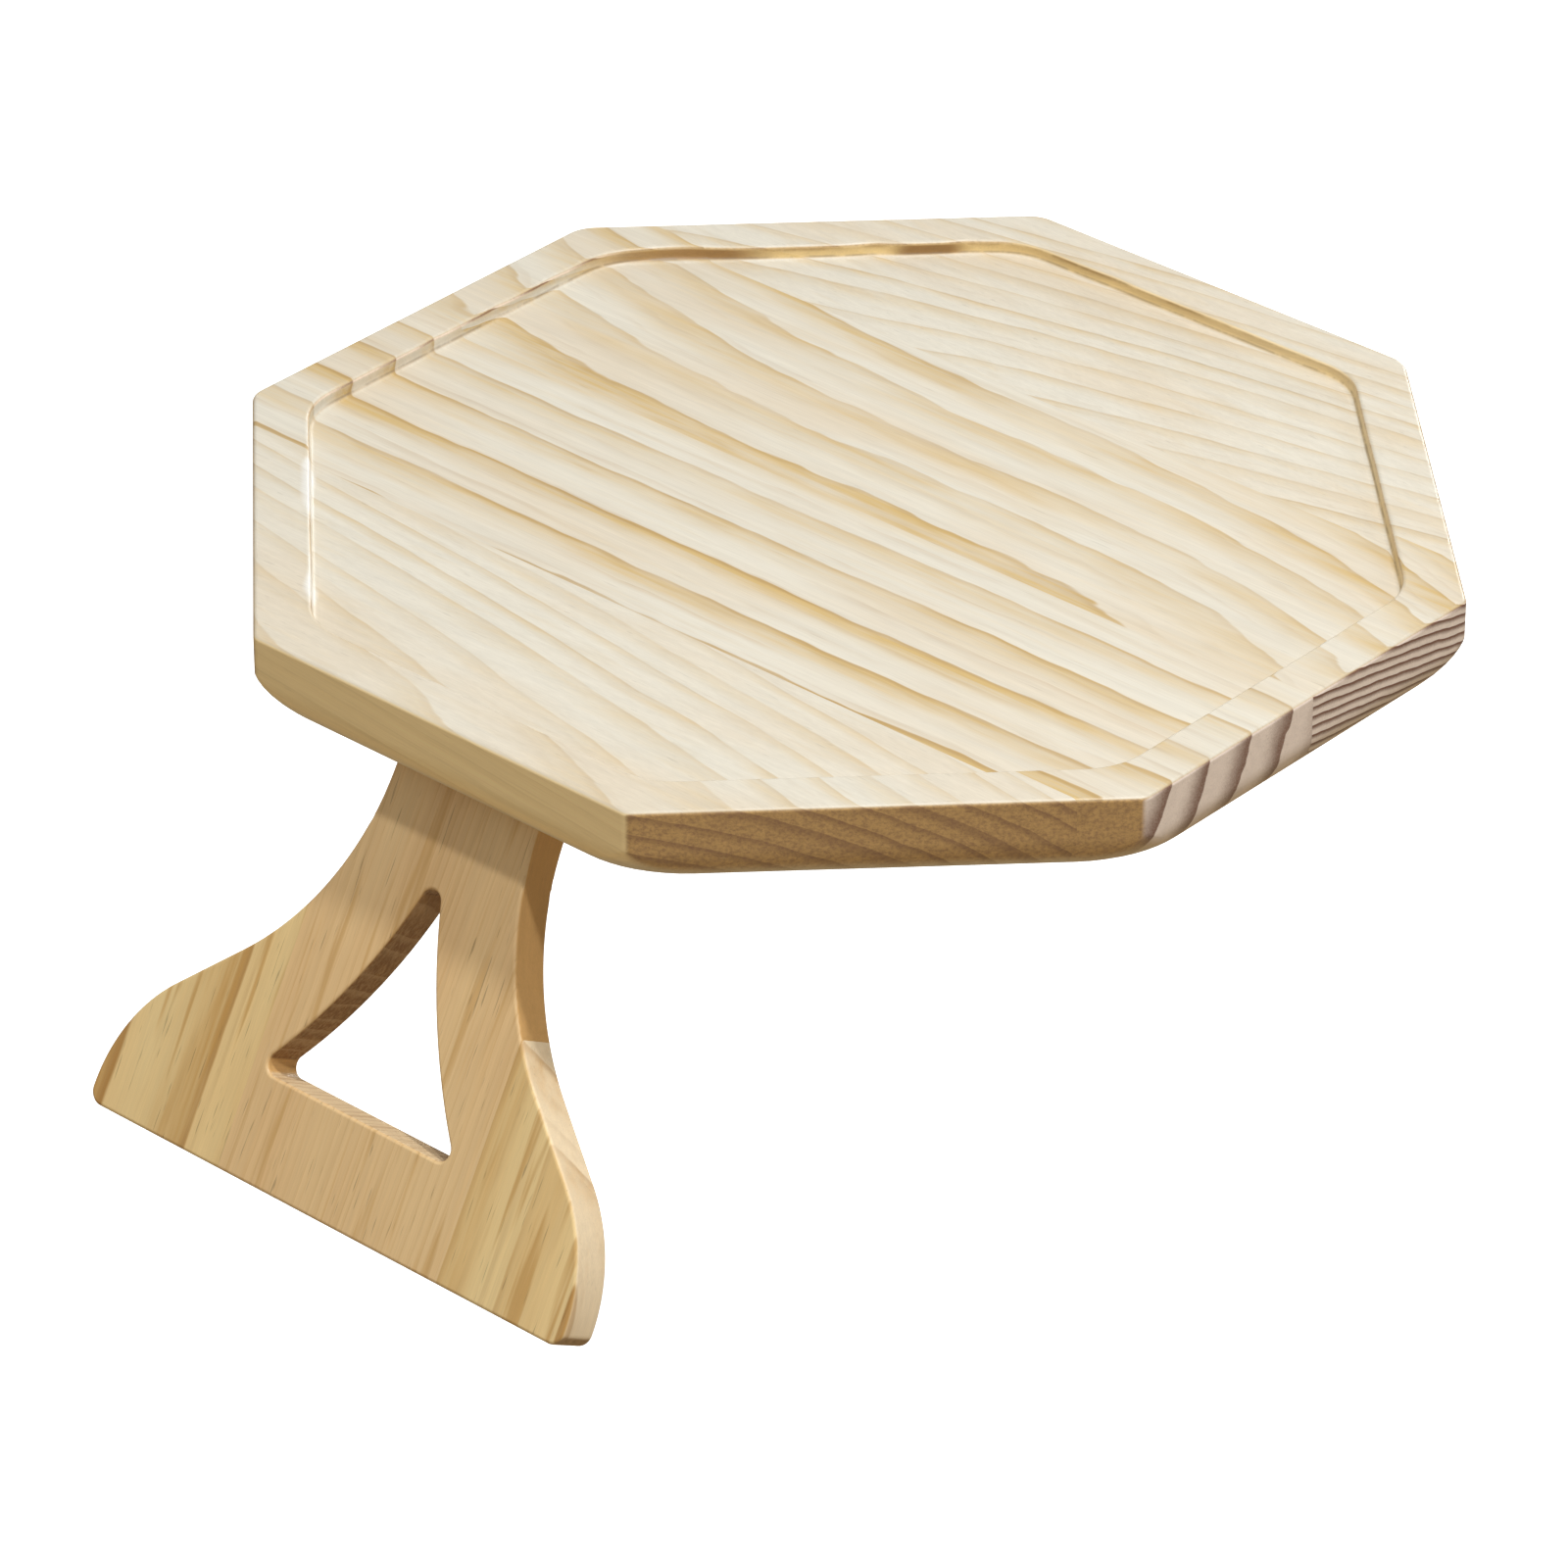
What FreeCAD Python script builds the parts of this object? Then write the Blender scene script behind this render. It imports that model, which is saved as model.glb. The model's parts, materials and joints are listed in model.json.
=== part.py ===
"""Sofa arm tray: an eight-sided pine tray on two flared legs that spring hinges fold in under it.

Frame: millimetres, +Z up. The origin is the middle of the tray's underside, which rests on the sofa arm.
X runs along the grain and the hinge pins. The front leg, splayed open, is towards -Y, and the rear leg,
folded in under the tray, is towards +Y.
"""
import math
import os

import FreeCAD
import Part

Vector = FreeCAD.Vector
ORIGIN = Vector(0, 0, 0)
ALONG_X = Vector(1, 0, 0)
ALONG_Z = Vector(0, 0, 1)

# Tray top
across_flats = 300.0
tray_thickness = 22.0
bottom_round = 10.0
corner_relief = 3.9
corner_relief_round = 15.0
corner_round = 4.0
top_edge_round = 1.2
rim_width = 14.5
recess_depth = 4.0
recess_corner_round = 20.0
recess_floor_round = 1.5
stave_count = 4
glue_line_offset = 1.0

# Legs
leg_thickness = 12.0
leg_reach = 121.0
leg_splay = 30.0
neck_width = 48.0
foot_width = 162.0
flare_angle = 47.0
neck_flare_radius = 82.5
foot_round_radius = 45.5
foot_corner_round = 4.0
leg_edge_round = 1.0
leg_stave_margin = 3.5
leg_glue_line_offset = 2.6
window_length = 68.5
window_base_width = 68.0
window_foot_margin = 27.5
window_side_radius = 165.0
window_corner_round = 3.0

# Hinges
hinge_from_edge = 27.5
leaf_length = 40.0
leaf_width = 18.0
leaf_thickness = 1.2
leaf_corner_round = 2.5
pin_radius = 1.75
pin_clearance = 0.05
pin_head_radius = 2.6
pin_head_length = 1.0
leg_knuckle_length = 6.0
knuckle_gap = 0.4
wire_radius = 0.45
coil_pitch = 1.45
coil_turns = 6
spring_arm_length = 11.0
spring_clearance = 0.3
spring_bay_clearance = 1.0

# Screws
screw_head_radius = 2.5
screw_shank_radius = 1.3
tray_screw_length = 14.0
leg_screw_length = 10.0
screw_point_length = 3.0
screw_clearance = 0.05
cross_width = 0.7
cross_length = 2.6
cross_depth = 0.8
outer_screw_from_end = 4.5
outer_screw_from_pin = 8.0
inner_screw_from_bay = 4.3
inner_screw_from_pin = 14.0

# Fits
stop_clearance = 0.1
overrun = 20.0

# Worked out from the sizes above
knuckle_radius = pin_radius + pin_clearance + leaf_thickness
hinge_y = across_flats / 2 - hinge_from_edge
coil_radius = knuckle_radius + wire_radius
pocket_reach = coil_radius + wire_radius + spring_clearance
pocket_depth = pocket_reach - knuckle_radius
leaf_notch = pocket_reach + spring_clearance
open_swing = -(90.0 + leg_splay)
fold_swing = math.degrees(math.asin((2 * knuckle_radius - stop_clearance) / leg_reach))
longest_coil = coil_pitch * (coil_turns + (180.0 + fold_swing) / 360.0)
bay_half = longest_coil / 2 + wire_radius + spring_bay_clearance
tray_knuckle_length = leaf_length / 2 - bay_half - leg_knuckle_length - 2 * knuckle_gap
stave_width = across_flats / stave_count


def octagon(apothem):
    """The eight corners of a regular octagon with a flat edge at the front, in the plane z = 0."""
    reach = apothem / math.cos(math.pi / 8)
    turns = [math.pi / 8 + math.pi / 4 * k for k in range(8)]
    return [Vector(reach * math.cos(a), reach * math.sin(a), 0) for a in turns]


def prism(corners, bottom, height, rounding):
    """An upright block with these corners, whose upright edges are rounded."""
    outline = Part.makePolygon(corners + corners[:1])
    block = Part.Face(outline).extrude(Vector(0, 0, height))
    block.translate(Vector(0, 0, bottom))
    upright = [e for e in block.Edges if e.BoundBox.ZLength > height / 2]
    return block.makeFillet(rounding, upright)


def edges_at(shape, z):
    """The edges of a shape that lie in the level plane at height z."""
    flat = Part.Precision.confusion()
    return [e for e in shape.Edges if abs(e.BoundBox.ZMin - z) < flat and abs(e.BoundBox.ZMax - z) < flat]


def turned(shape, swing):
    """A copy of a shape turned about the hinge pin, which lies on the X axis."""
    copy = shape.copy()
    copy.rotate(ORIGIN, ALONG_X, swing)
    return copy


def placed(shape, rear):
    """A copy of a shape from the hinge's own frame, set at the front or the rear of the tray."""
    copy = shape.copy()
    copy.translate(Vector(0, -hinge_y, -knuckle_radius))
    if rear:
        copy.rotate(ORIGIN, ALONG_Z, 180)
    return copy


def mirrored(shape):
    """The leg's side of a hinge piece, as it faces the tray's side when the leg lies flat."""
    return shape.mirror(ORIGIN, ALONG_Z)


def divided(shape, glue_lines, axis):
    """The staves of a glued panel, which meet at flat glue lines square to axis 0, X, or axis 1, Y."""
    reach = across_flats + overrun
    edges = [-reach] + glue_lines + [reach]
    staves = []
    for near, far in zip(edges, edges[1:]):
        corner = [-reach, -reach, -reach]
        size = [2 * reach, 2 * reach, 2 * reach]
        corner[axis] = near
        size[axis] = far - near
        staves.append(shape.common(Part.makeBox(*size, Vector(*corner))))
    return staves


# Screws

def screw_places():
    """The four screws of a leaf, in the leaf's plane."""
    outer_x = leaf_length / 2 - outer_screw_from_end
    inner_x = bay_half + inner_screw_from_bay
    rows = [(outer_x, outer_screw_from_pin), (inner_x, inner_screw_from_pin)]
    return [(side * x, y) for x, y in rows for side in (-1, 1)]


def screw_body(length, clearance):
    """A countersunk screw that points up, its head level with z = 0, larger all round by a clearance."""
    head = Part.makeCone(screw_head_radius + clearance, screw_shank_radius + clearance, leaf_thickness)
    straight = length - screw_point_length
    shank = Part.makeCylinder(screw_shank_radius + clearance, straight)
    point = Part.makeCone(screw_shank_radius + clearance, clearance, screw_point_length + clearance)
    point.translate(Vector(0, 0, straight))
    return head.fuse([shank, point]).removeSplitter()


def screw(length):
    """A countersunk screw with a cross recess in its head."""
    body = screw_body(length, 0)
    bars = []
    for along, across in ((cross_length, cross_width), (cross_width, cross_length)):
        bars.append(Part.makeBox(along, across, cross_depth, Vector(-along / 2, -across / 2, 0)))
    return body.cut(bars)


def at_screw_places(shape):
    """Copies of a screw or of its hole at the four places of the tray's leaf."""
    level = knuckle_radius - leaf_thickness
    copies = []
    for x, y in screw_places():
        copy = shape.copy()
        copy.translate(Vector(x, y, level))
        copies.append(copy)
    return copies


# Hinge pieces, in the hinge's own frame: the pin lies on X, and the underside is above it

def knuckle_spans(is_tray_leaf):
    """Where a leaf's two knuckles start along the pin, and how long they are."""
    if is_tray_leaf:
        start = leaf_length / 2 - tray_knuckle_length
        return [(start, tray_knuckle_length), (-start - tray_knuckle_length, tray_knuckle_length)]
    start = bay_half + knuckle_gap
    return [(start, leg_knuckle_length), (-start - leg_knuckle_length, leg_knuckle_length)]


def leaf(is_tray_leaf):
    """A leaf rolled round the pin at two knuckles, with four countersunk holes."""
    level = knuckle_radius - leaf_thickness
    plate = Part.makeBox(
        leaf_length, leaf_width - leaf_notch, leaf_thickness, Vector(-leaf_length / 2, leaf_notch, level)
    )
    far = [e for e in plate.Edges if e.BoundBox.ZLength > 0 and e.BoundBox.YMin > leaf_width / 2]
    upright = [e for e in far if e.BoundBox.XLength + e.BoundBox.YLength < leaf_thickness]
    plate = plate.makeFillet(leaf_corner_round, upright)
    pieces = []
    for start, length in knuckle_spans(is_tray_leaf):
        pieces.append(Part.makeCylinder(knuckle_radius, length, Vector(start, 0, 0), ALONG_X))
        pieces.append(Part.makeBox(length, leaf_notch, leaf_thickness, Vector(start, 0, level)))
    body = plate.fuse(pieces).removeSplitter()
    bore_start = Vector(-leaf_length / 2 - overrun, 0, 0)
    bore = Part.makeCylinder(pin_radius + pin_clearance, leaf_length + 2 * overrun, bore_start, ALONG_X)
    holes = at_screw_places(screw_body(leg_screw_length, screw_clearance))
    return body.cut([bore] + holes)


def hinge_pin():
    """A plain pin with a flat head at each end."""
    reach = leaf_length / 2 + stop_clearance
    shaft = Part.makeCylinder(pin_radius, 2 * reach, Vector(-reach, 0, 0), ALONG_X)
    heads = []
    for start in (-reach - pin_head_length, reach):
        heads.append(Part.makeCylinder(pin_head_radius, pin_head_length, Vector(start, 0, 0), ALONG_X))
    return shaft.fuse(heads).removeSplitter()


def arc_from(start, heading, end):
    """The circular arc that leaves start along heading and ends at end, with its middle point."""
    chord = end - start
    toward = heading * (chord * heading)
    aside = chord - toward
    half_turn = math.atan2(aside.Length, chord * heading)
    aside.normalize()
    sagitta = chord.Length / 2 * math.tan(half_turn / 2)
    across = heading * math.sin(half_turn) - aside * math.cos(half_turn)
    middle = start + chord / 2 + across * sagitta
    return Part.Arc(start, middle, end)


def biarc(start, heading, end, end_heading):
    """Two arcs that run from start to end and meet smoothly, with these headings at the ends."""
    span = end - start
    both = heading + end_heading
    a = 2 * (1 - heading * end_heading)
    b = span * both
    c = span * span
    reach = c / (b + math.sqrt(b * b + a * c)) if a > 0 else c / (2 * b)
    joint = (start + heading * reach + end - end_heading * reach) / 2
    first = arc_from(start, heading, joint)
    back = arc_from(end, end_heading * -1, joint)
    return [first.toShape(), Part.Arc(joint, back.toShape().valueAt(middle_of(back)), end).toShape()]


def middle_of(arc):
    """The parameter half way along an arc."""
    return (arc.FirstParameter + arc.LastParameter) / 2


def coil_stations(swing):
    """Points and headings along the coil, from the leg's arm to the tray's arm."""
    first_turn = math.radians(swing - 90.0)
    sweep = math.radians(180.0 + swing + 360.0 * coil_turns)
    steps = math.ceil(sweep / (math.pi / 2))
    length = coil_pitch * sweep / (2 * math.pi)
    stations = []
    for k in range(steps + 1):
        turn = first_turn - sweep * k / steps
        along = -length / 2 + length * k / steps
        point = Vector(along, coil_radius * math.cos(turn), coil_radius * math.sin(turn))
        heading = Vector(0, math.sin(turn), -math.cos(turn))
        if 0 < k < steps:
            heading.x = length / (sweep * coil_radius)
            heading.normalize()
        stations.append((point, heading))
    return stations


def torsion_spring(swing):
    """A torsion spring wound round the pin, with one arm behind each leaf, for a leg at this swing."""
    stations = coil_stations(swing)
    start, start_heading = stations[0]
    end, end_heading = stations[-1]
    tip = start - start_heading * spring_arm_length
    edges = [Part.LineSegment(tip, start).toShape()]
    for (p, heading), (q, next_heading) in zip(stations, stations[1:]):
        edges += biarc(p, heading, q, next_heading)
    edges.append(Part.LineSegment(end, end + end_heading * spring_arm_length).toShape())
    path = Part.Wire(edges)
    section = Part.Wire(Part.Circle(tip, start_heading, wire_radius).toShape())
    print("spring gap", round(least_gap(path), 2), "mm")
    return path.makePipeShell([section], True, False)


def least_gap(path):
    """The least gap between the turns of a wound wire, measured on points along it."""
    spacing = wire_radius
    points = path.discretize(Distance=spacing)
    apart = math.ceil(math.pi * coil_radius / spacing)
    gaps = [(p - q).Length for i, p in enumerate(points) for q in points[i + apart:]]
    return min(gaps) - 2 * wire_radius


def spring_pocket():
    """The shallow pocket in the wood that clears the coil and takes the spring's arm."""
    reach = spring_arm_length + spring_clearance
    return Part.makeBox(
        2 * bay_half, pocket_reach + reach, pocket_depth, Vector(-bay_half, -pocket_reach, knuckle_radius)
    )


# Legs, in the hinge's own frame, lying flat: the length runs along Y and the inner face looks up

def leg_side():
    """One side of a leg's outline from its head to its foot: neck, hollow flare, straight, round foot."""
    turn = math.radians(flare_angle)
    low = leg_reach - foot_corner_round
    half_foot = foot_width / 2
    foot_start = Vector(
        half_foot - foot_round_radius * (1 - math.cos(turn)), low - foot_round_radius * math.sin(turn), 0
    )
    half_neck = neck_width / 2
    flare_x = half_neck + neck_flare_radius * (1 - math.cos(turn))
    straight = (foot_start.x - flare_x) / math.sin(turn)
    flare_end = Vector(flare_x, foot_start.y - straight * math.cos(turn), 0)
    flare_start = Vector(half_neck, flare_end.y - neck_flare_radius * math.sin(turn), 0)
    flare_middle = Vector(
        half_neck + neck_flare_radius * (1 - math.cos(turn / 2)),
        flare_start.y + neck_flare_radius * math.sin(turn / 2),
        0,
    )
    foot_middle = Vector(
        half_foot - foot_round_radius * (1 - math.cos(turn / 2)),
        low - foot_round_radius * math.sin(turn / 2),
        0,
    )
    foot_end = Vector(half_foot, low, 0)
    tip = math.sqrt(0.5) * foot_corner_round
    corner_middle = Vector(half_foot - foot_corner_round + tip, low + tip, 0)
    corner_end = Vector(half_foot - foot_corner_round, leg_reach, 0)
    head = Vector(half_neck, -overrun, 0)
    return [
        Part.LineSegment(head, flare_start),
        Part.Arc(flare_start, flare_middle, flare_end),
        Part.LineSegment(flare_end, foot_start),
        Part.Arc(foot_start, foot_middle, foot_end),
        Part.Arc(foot_end, corner_middle, corner_end),
    ]


def window_cutter():
    """A tall block of the window's shape: a curved triangle with rounded corners."""
    base_y = leg_reach - window_foot_margin
    apex = Vector(0, base_y - window_length, 0)
    sides = []
    for side in (-1, 1):
        corner = Vector(side * window_base_width / 2, base_y, 0)
        chord = corner - apex
        sagitta = window_side_radius - math.sqrt(window_side_radius ** 2 - chord.Length ** 2 / 4)
        inward = Vector(-side * chord.y, side * chord.x, 0)
        inward.normalize()
        middle = apex + chord / 2 + inward * sagitta
        sides.append((corner, Part.Arc(apex, middle, corner).toShape()))
    base = Part.LineSegment(sides[0][0], sides[1][0]).toShape()
    outline = Part.Wire(Part.__sortEdges__([sides[0][1], base, sides[1][1]]))
    depth = leg_thickness + 2 * overrun
    block = Part.Face(outline).extrude(Vector(0, 0, depth))
    block.translate(Vector(0, 0, -knuckle_radius - leg_thickness - overrun))
    upright = [e for e in block.Edges if e.BoundBox.ZLength > depth / 2]
    return block.makeFillet(window_corner_round, upright)


def leg_board():
    """A flared leg with its window, softened edges, a head bevelled to meet the underside, and holes."""
    right = [c.toShape() for c in leg_side()]
    left = [e.mirror(ORIGIN, ALONG_X) for e in right]
    head = Part.LineSegment(right[0].Vertexes[0].Point, left[0].Vertexes[0].Point).toShape()
    foot = Part.LineSegment(right[-1].Vertexes[-1].Point, left[-1].Vertexes[-1].Point).toShape()
    outline = Part.Wire(Part.__sortEdges__(right + left + [head, foot]))
    board = Part.Face(outline).extrude(Vector(0, 0, leg_thickness))
    board.translate(Vector(0, 0, -knuckle_radius - leg_thickness))
    board = board.cut(window_cutter())
    faces = edges_at(board, -knuckle_radius) + edges_at(board, -knuckle_radius - leg_thickness)
    soft = [e for e in faces if e.BoundBox.YMax > 0]
    board = board.makeFillet(leg_edge_round, soft)
    above = Part.makeBox(
        2 * foot_width, 2 * leg_reach, overrun + leg_thickness,
        Vector(-foot_width, -leg_reach, knuckle_radius - stop_clearance),
    )
    board = board.cut(turned(above, -open_swing))
    pocket = mirrored(spring_pocket())
    holes = [mirrored(hole) for hole in at_screw_places(screw_body(leg_screw_length, screw_clearance))]
    return board.cut([pocket] + holes)


def leg_staves():
    """The leg's left, middle and right staves, as seen from outside. The middle one holds the window."""
    half_stave = window_base_width / 2 + leg_stave_margin
    glue_lines = [side * half_stave + leg_glue_line_offset for side in (-1, 1)]
    return dict(zip(("left", "middle", "right"), divided(leg_board(), glue_lines, 0)))


# Tray

def turned_bowl():
    """A bowl about the tray's middle. It rounds off the lower corners and clears the edges between."""
    corner_reach = (across_flats / 2 - bottom_round) / math.cos(math.pi / 8)
    foot = Vector(corner_reach - corner_relief, 0, 0)
    lip = foot + Vector(corner_relief_round, 0, corner_relief_round)
    bulge = math.sqrt(0.5) * corner_relief_round
    curve = Part.Arc(foot, foot + Vector(bulge, 0, corner_relief_round - bulge), lip)
    brim = lip + Vector(0, 0, tray_thickness)
    centre = Vector(0, 0, brim.z)
    runs = [(ORIGIN, foot), (lip, brim), (brim, centre), (centre, ORIGIN)]
    edges = [Part.LineSegment(*run).toShape() for run in runs]
    profile = Part.Wire([edges[0], curve.toShape()] + edges[1:])
    return Part.Face(profile).revolve(ORIGIN, ALONG_Z, 360)


def tray_blank():
    """The whole tray top before it is divided into its staves, with both hinges' pockets and screw holes."""
    half = across_flats / 2
    corners = octagon(half)
    outline = Part.makePolygon(corners + corners[:1])
    blank = Part.Face(outline).extrude(Vector(0, 0, tray_thickness))
    blank = blank.makeFillet(bottom_round, edges_at(blank, 0))
    blank = blank.common(prism(corners, 0, tray_thickness, corner_round))
    floor = tray_thickness - recess_depth
    recess = prism(octagon(half - rim_width), floor, recess_depth + overrun, recess_corner_round)
    recess = recess.makeFillet(recess_floor_round, edges_at(recess, floor))
    blank = blank.cut(recess)
    blank = blank.makeFillet(top_edge_round, edges_at(blank, tray_thickness))
    blank = blank.common(turned_bowl())
    cutters = [spring_pocket()] + at_screw_places(screw_body(tray_screw_length, screw_clearance))
    return blank.cut([placed(cutter, rear) for cutter in cutters for rear in (False, True)])


def tray_staves():
    """The tray top's staves, from the front to the rear, which meet at flat glue lines."""
    half = across_flats / 2
    glue_lines = [stave_width * k - half + glue_line_offset for k in range(1, stave_count)]
    return divided(tray_blank(), glue_lines, 1)


def leg_nodes(name, rear, swing):
    """The staves, hinge and screws of one leg, with the leg turned by swing from lying flat."""
    tray_screws = at_screw_places(screw(tray_screw_length))
    leg_screws = [turned(mirrored(s), swing) for s in at_screw_places(screw(leg_screw_length))]
    nodes = {
        name + "_hinge_tray_leaf": placed(leaf(True), rear),
        name + "_hinge_leg_leaf": placed(turned(mirrored(leaf(False)), swing), rear),
        name + "_hinge_pin": placed(hinge_pin(), rear),
        name + "_hinge_spring": placed(torsion_spring(swing), rear),
        name + "_tray_screws": placed(Part.makeCompound(tray_screws), rear),
        name + "_leg_screws": placed(Part.makeCompound(leg_screws), rear),
    }
    for side, stave in leg_staves().items():
        nodes[name + "_leg_" + side + "_stave"] = placed(turned(stave, swing), rear)
    return nodes


def main():
    """Build every piece and write one STEP file for each."""
    nodes = {"tray_stave_%d" % (k + 1): stave for k, stave in enumerate(tray_staves())}
    nodes.update(leg_nodes("front", False, open_swing))
    nodes.update(leg_nodes("rear", True, fold_swing))
    os.makedirs("parts", exist_ok=True)
    for name, shape in nodes.items():
        shape.exportStep("parts/%s.step" % name)
    print("fold swing", round(fold_swing, 2), "travel", round(fold_swing - open_swing, 2), "degrees")


main()
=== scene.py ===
"""Sofa arm tray: the finish of an eight-sided pine tray on two flared legs with spring hinges.

The file is laid out as an add-on and run as a script. Each operator makes one group of pieces round the
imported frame. Lengths are metres in the part's frame: +Z up, X along the tray's grain and the hinge pins,
-Y towards the open front leg.
"""
import json
import math
from dataclasses import dataclass

import bmesh
import bpy
import numpy as np
from bpy.props import FloatProperty, FloatVectorProperty, IntProperty, PointerProperty
from mathutils import Matrix, Vector, noise


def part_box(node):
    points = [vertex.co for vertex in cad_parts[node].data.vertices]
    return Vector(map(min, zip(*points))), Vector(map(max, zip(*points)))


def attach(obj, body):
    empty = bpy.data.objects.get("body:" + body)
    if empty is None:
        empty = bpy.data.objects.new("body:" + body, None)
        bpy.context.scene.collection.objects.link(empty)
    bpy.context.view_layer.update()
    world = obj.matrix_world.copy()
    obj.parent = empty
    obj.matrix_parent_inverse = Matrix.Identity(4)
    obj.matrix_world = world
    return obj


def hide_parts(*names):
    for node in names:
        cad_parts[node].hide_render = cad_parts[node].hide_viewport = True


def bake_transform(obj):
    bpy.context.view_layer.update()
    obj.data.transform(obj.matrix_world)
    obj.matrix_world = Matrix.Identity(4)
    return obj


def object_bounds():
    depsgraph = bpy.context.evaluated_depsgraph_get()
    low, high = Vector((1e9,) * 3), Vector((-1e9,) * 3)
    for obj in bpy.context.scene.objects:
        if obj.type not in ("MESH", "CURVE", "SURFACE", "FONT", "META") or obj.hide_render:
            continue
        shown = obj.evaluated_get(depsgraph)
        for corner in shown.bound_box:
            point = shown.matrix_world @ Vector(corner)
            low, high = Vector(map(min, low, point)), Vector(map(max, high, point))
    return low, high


bl_info = {
    "name": "Sofa Arm Tray",
    "version": (1, 0, 0),
    "blender": (4, 5, 0),
    "location": "View3D > Sidebar > Arm Tray",
    "description": "Pine boards, spring hinges and screws of a folding sofa arm tray",
    "category": "Object",
}

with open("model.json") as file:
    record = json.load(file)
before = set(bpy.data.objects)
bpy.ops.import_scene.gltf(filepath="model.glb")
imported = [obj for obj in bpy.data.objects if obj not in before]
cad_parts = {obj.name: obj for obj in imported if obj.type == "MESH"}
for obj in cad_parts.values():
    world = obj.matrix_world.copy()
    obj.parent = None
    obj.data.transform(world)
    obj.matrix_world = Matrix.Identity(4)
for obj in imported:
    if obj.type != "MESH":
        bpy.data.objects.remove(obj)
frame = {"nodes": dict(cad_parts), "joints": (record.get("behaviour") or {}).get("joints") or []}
CAD_BOX = [list(corner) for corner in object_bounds()]

TRAY_STAVES = ("tray_stave_1", "tray_stave_2", "tray_stave_3", "tray_stave_4")
LEGS = ("front", "rear")
LEG_SIDES = ("left", "middle", "right")
JOINTS = {joint["name"]: joint for joint in frame["joints"]}
TRAY_LOW, TRAY_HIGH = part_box("tray_stave_2")
KNUCKLE_RADIUS = -JOINTS["front_leg_hinge"]["pos_m"][2]


# Sizes and colours

def length(name, description, default):
    """A length that a user may change."""
    return FloatProperty(
        name=name, description=description, default=default, min=0.0, unit="LENGTH", precision=5
    )


def tint(name, description, default):
    """A colour that a user may change."""
    return FloatVectorProperty(
        name=name, description=description, default=default, size=3, min=0.0, max=1.0, subtype="COLOR"
    )


def spot(name, description, default):
    """A place that a user may change."""
    return FloatVectorProperty(name=name, description=description, default=default, subtype="TRANSLATION")


def amount(name, description, default, subtype="NONE"):
    """A plain number, angle or power that a user may change."""
    return FloatProperty(name=name, description=description, default=default, subtype=subtype)


class TraySizes(bpy.types.PropertyGroup):
    """Sizes of the tray top."""

    across_flats: length("Across flats", "Width between two opposite edges", TRAY_HIGH.x - TRAY_LOW.x)
    thickness: length("Thickness", "Thickness of the glued panel", TRAY_HIGH.z - TRAY_LOW.z)
    bottom_round: length("Bottom round", "Radius of the round under the edge", 0.010)
    corner_round: length("Corner round", "Radius of the eight upright corners", 0.004)
    corner_relief: length("Corner relief", "How far the lower corners are turned away", 0.0039)
    relief_round: length("Relief round", "Radius of the turned lower corners", 0.015)
    edge_round: length("Edge round", "Radius of the sanded top edges", 0.0012)
    rim_width: length("Rim width", "Width of the flat rim", 0.0145)
    recess_depth: length("Recess depth", "Depth of the routed recess", 0.004)
    recess_round: length("Recess corner round", "Radius of the recess corners, left by the router", 0.020)
    floor_round: length("Floor round", "Radius where the recess wall meets its floor", 0.0015)
    wall_waver: length("Wall waver", "How far the routed wall strays from a true line", 0.00018)
    chip_depth: length("Chip depth", "How far the grain is torn out of the recess wall", 0.0009)


class HingeSizes(bpy.types.PropertyGroup):
    """Sizes of the spring hinges and their screws."""

    leg_reach: length("Leg reach", "Length of a leg from its pin to its foot", 0.121)
    leg_splay: amount("Leg splay", "How far an open leg leans out", math.radians(30.0), "ANGLE")
    stop_clearance: length("Stop clearance", "Gap left where a folded foot meets the underside", 0.0001)
    wire_radius: length("Wire radius", "Radius of the spring wire", 0.00045)
    coil_pitch: length("Coil pitch", "Step from one turn of the spring to the next", 0.00145)
    coil_turns: IntProperty(name="Coil turns", description="Whole turns of the spring", default=6, min=1)
    arm_length: length("Arm length", "Length of the spring's two arms", 0.011)
    spring_clearance: length("Spring clearance", "Room round the spring in its pocket", 0.0003)
    bay_clearance: length("Bay clearance", "Room beside the coil", 0.001)
    leaf_length: length("Leaf length", "Length of a leaf along the pin", 0.040)
    leaf_thickness: length("Leaf thickness", "Thickness of the leaf plate", 0.0012)
    head_radius: length("Head radius", "Radius of a screw head", 0.0025)
    shank_radius: length("Shank radius", "Radius of a screw over its thread", 0.0013)
    thread_pitch: length("Thread pitch", "Step of the screw thread", 0.0012)
    thread_depth: length("Thread depth", "Depth of the screw thread", 0.0003)
    tray_screw: length("Tray screw length", "Length of a screw in the tray", 0.014)
    leg_screw: length("Leg screw length", "Length of a screw in a leg", 0.010)
    point_length: length("Point length", "Length of a screw's point", 0.003)
    outer_from_end: length("Outer screw from end", "Outer screws from the leaf's end", 0.0045)
    outer_from_pin: length("Outer screw from pin", "Outer screws from the pin", 0.008)
    inner_from_bay: length("Inner screw from bay", "Inner screws from the spring's bay", 0.0043)
    inner_from_pin: length("Inner screw from pin", "Inner screws from the pin", 0.014)


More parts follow.
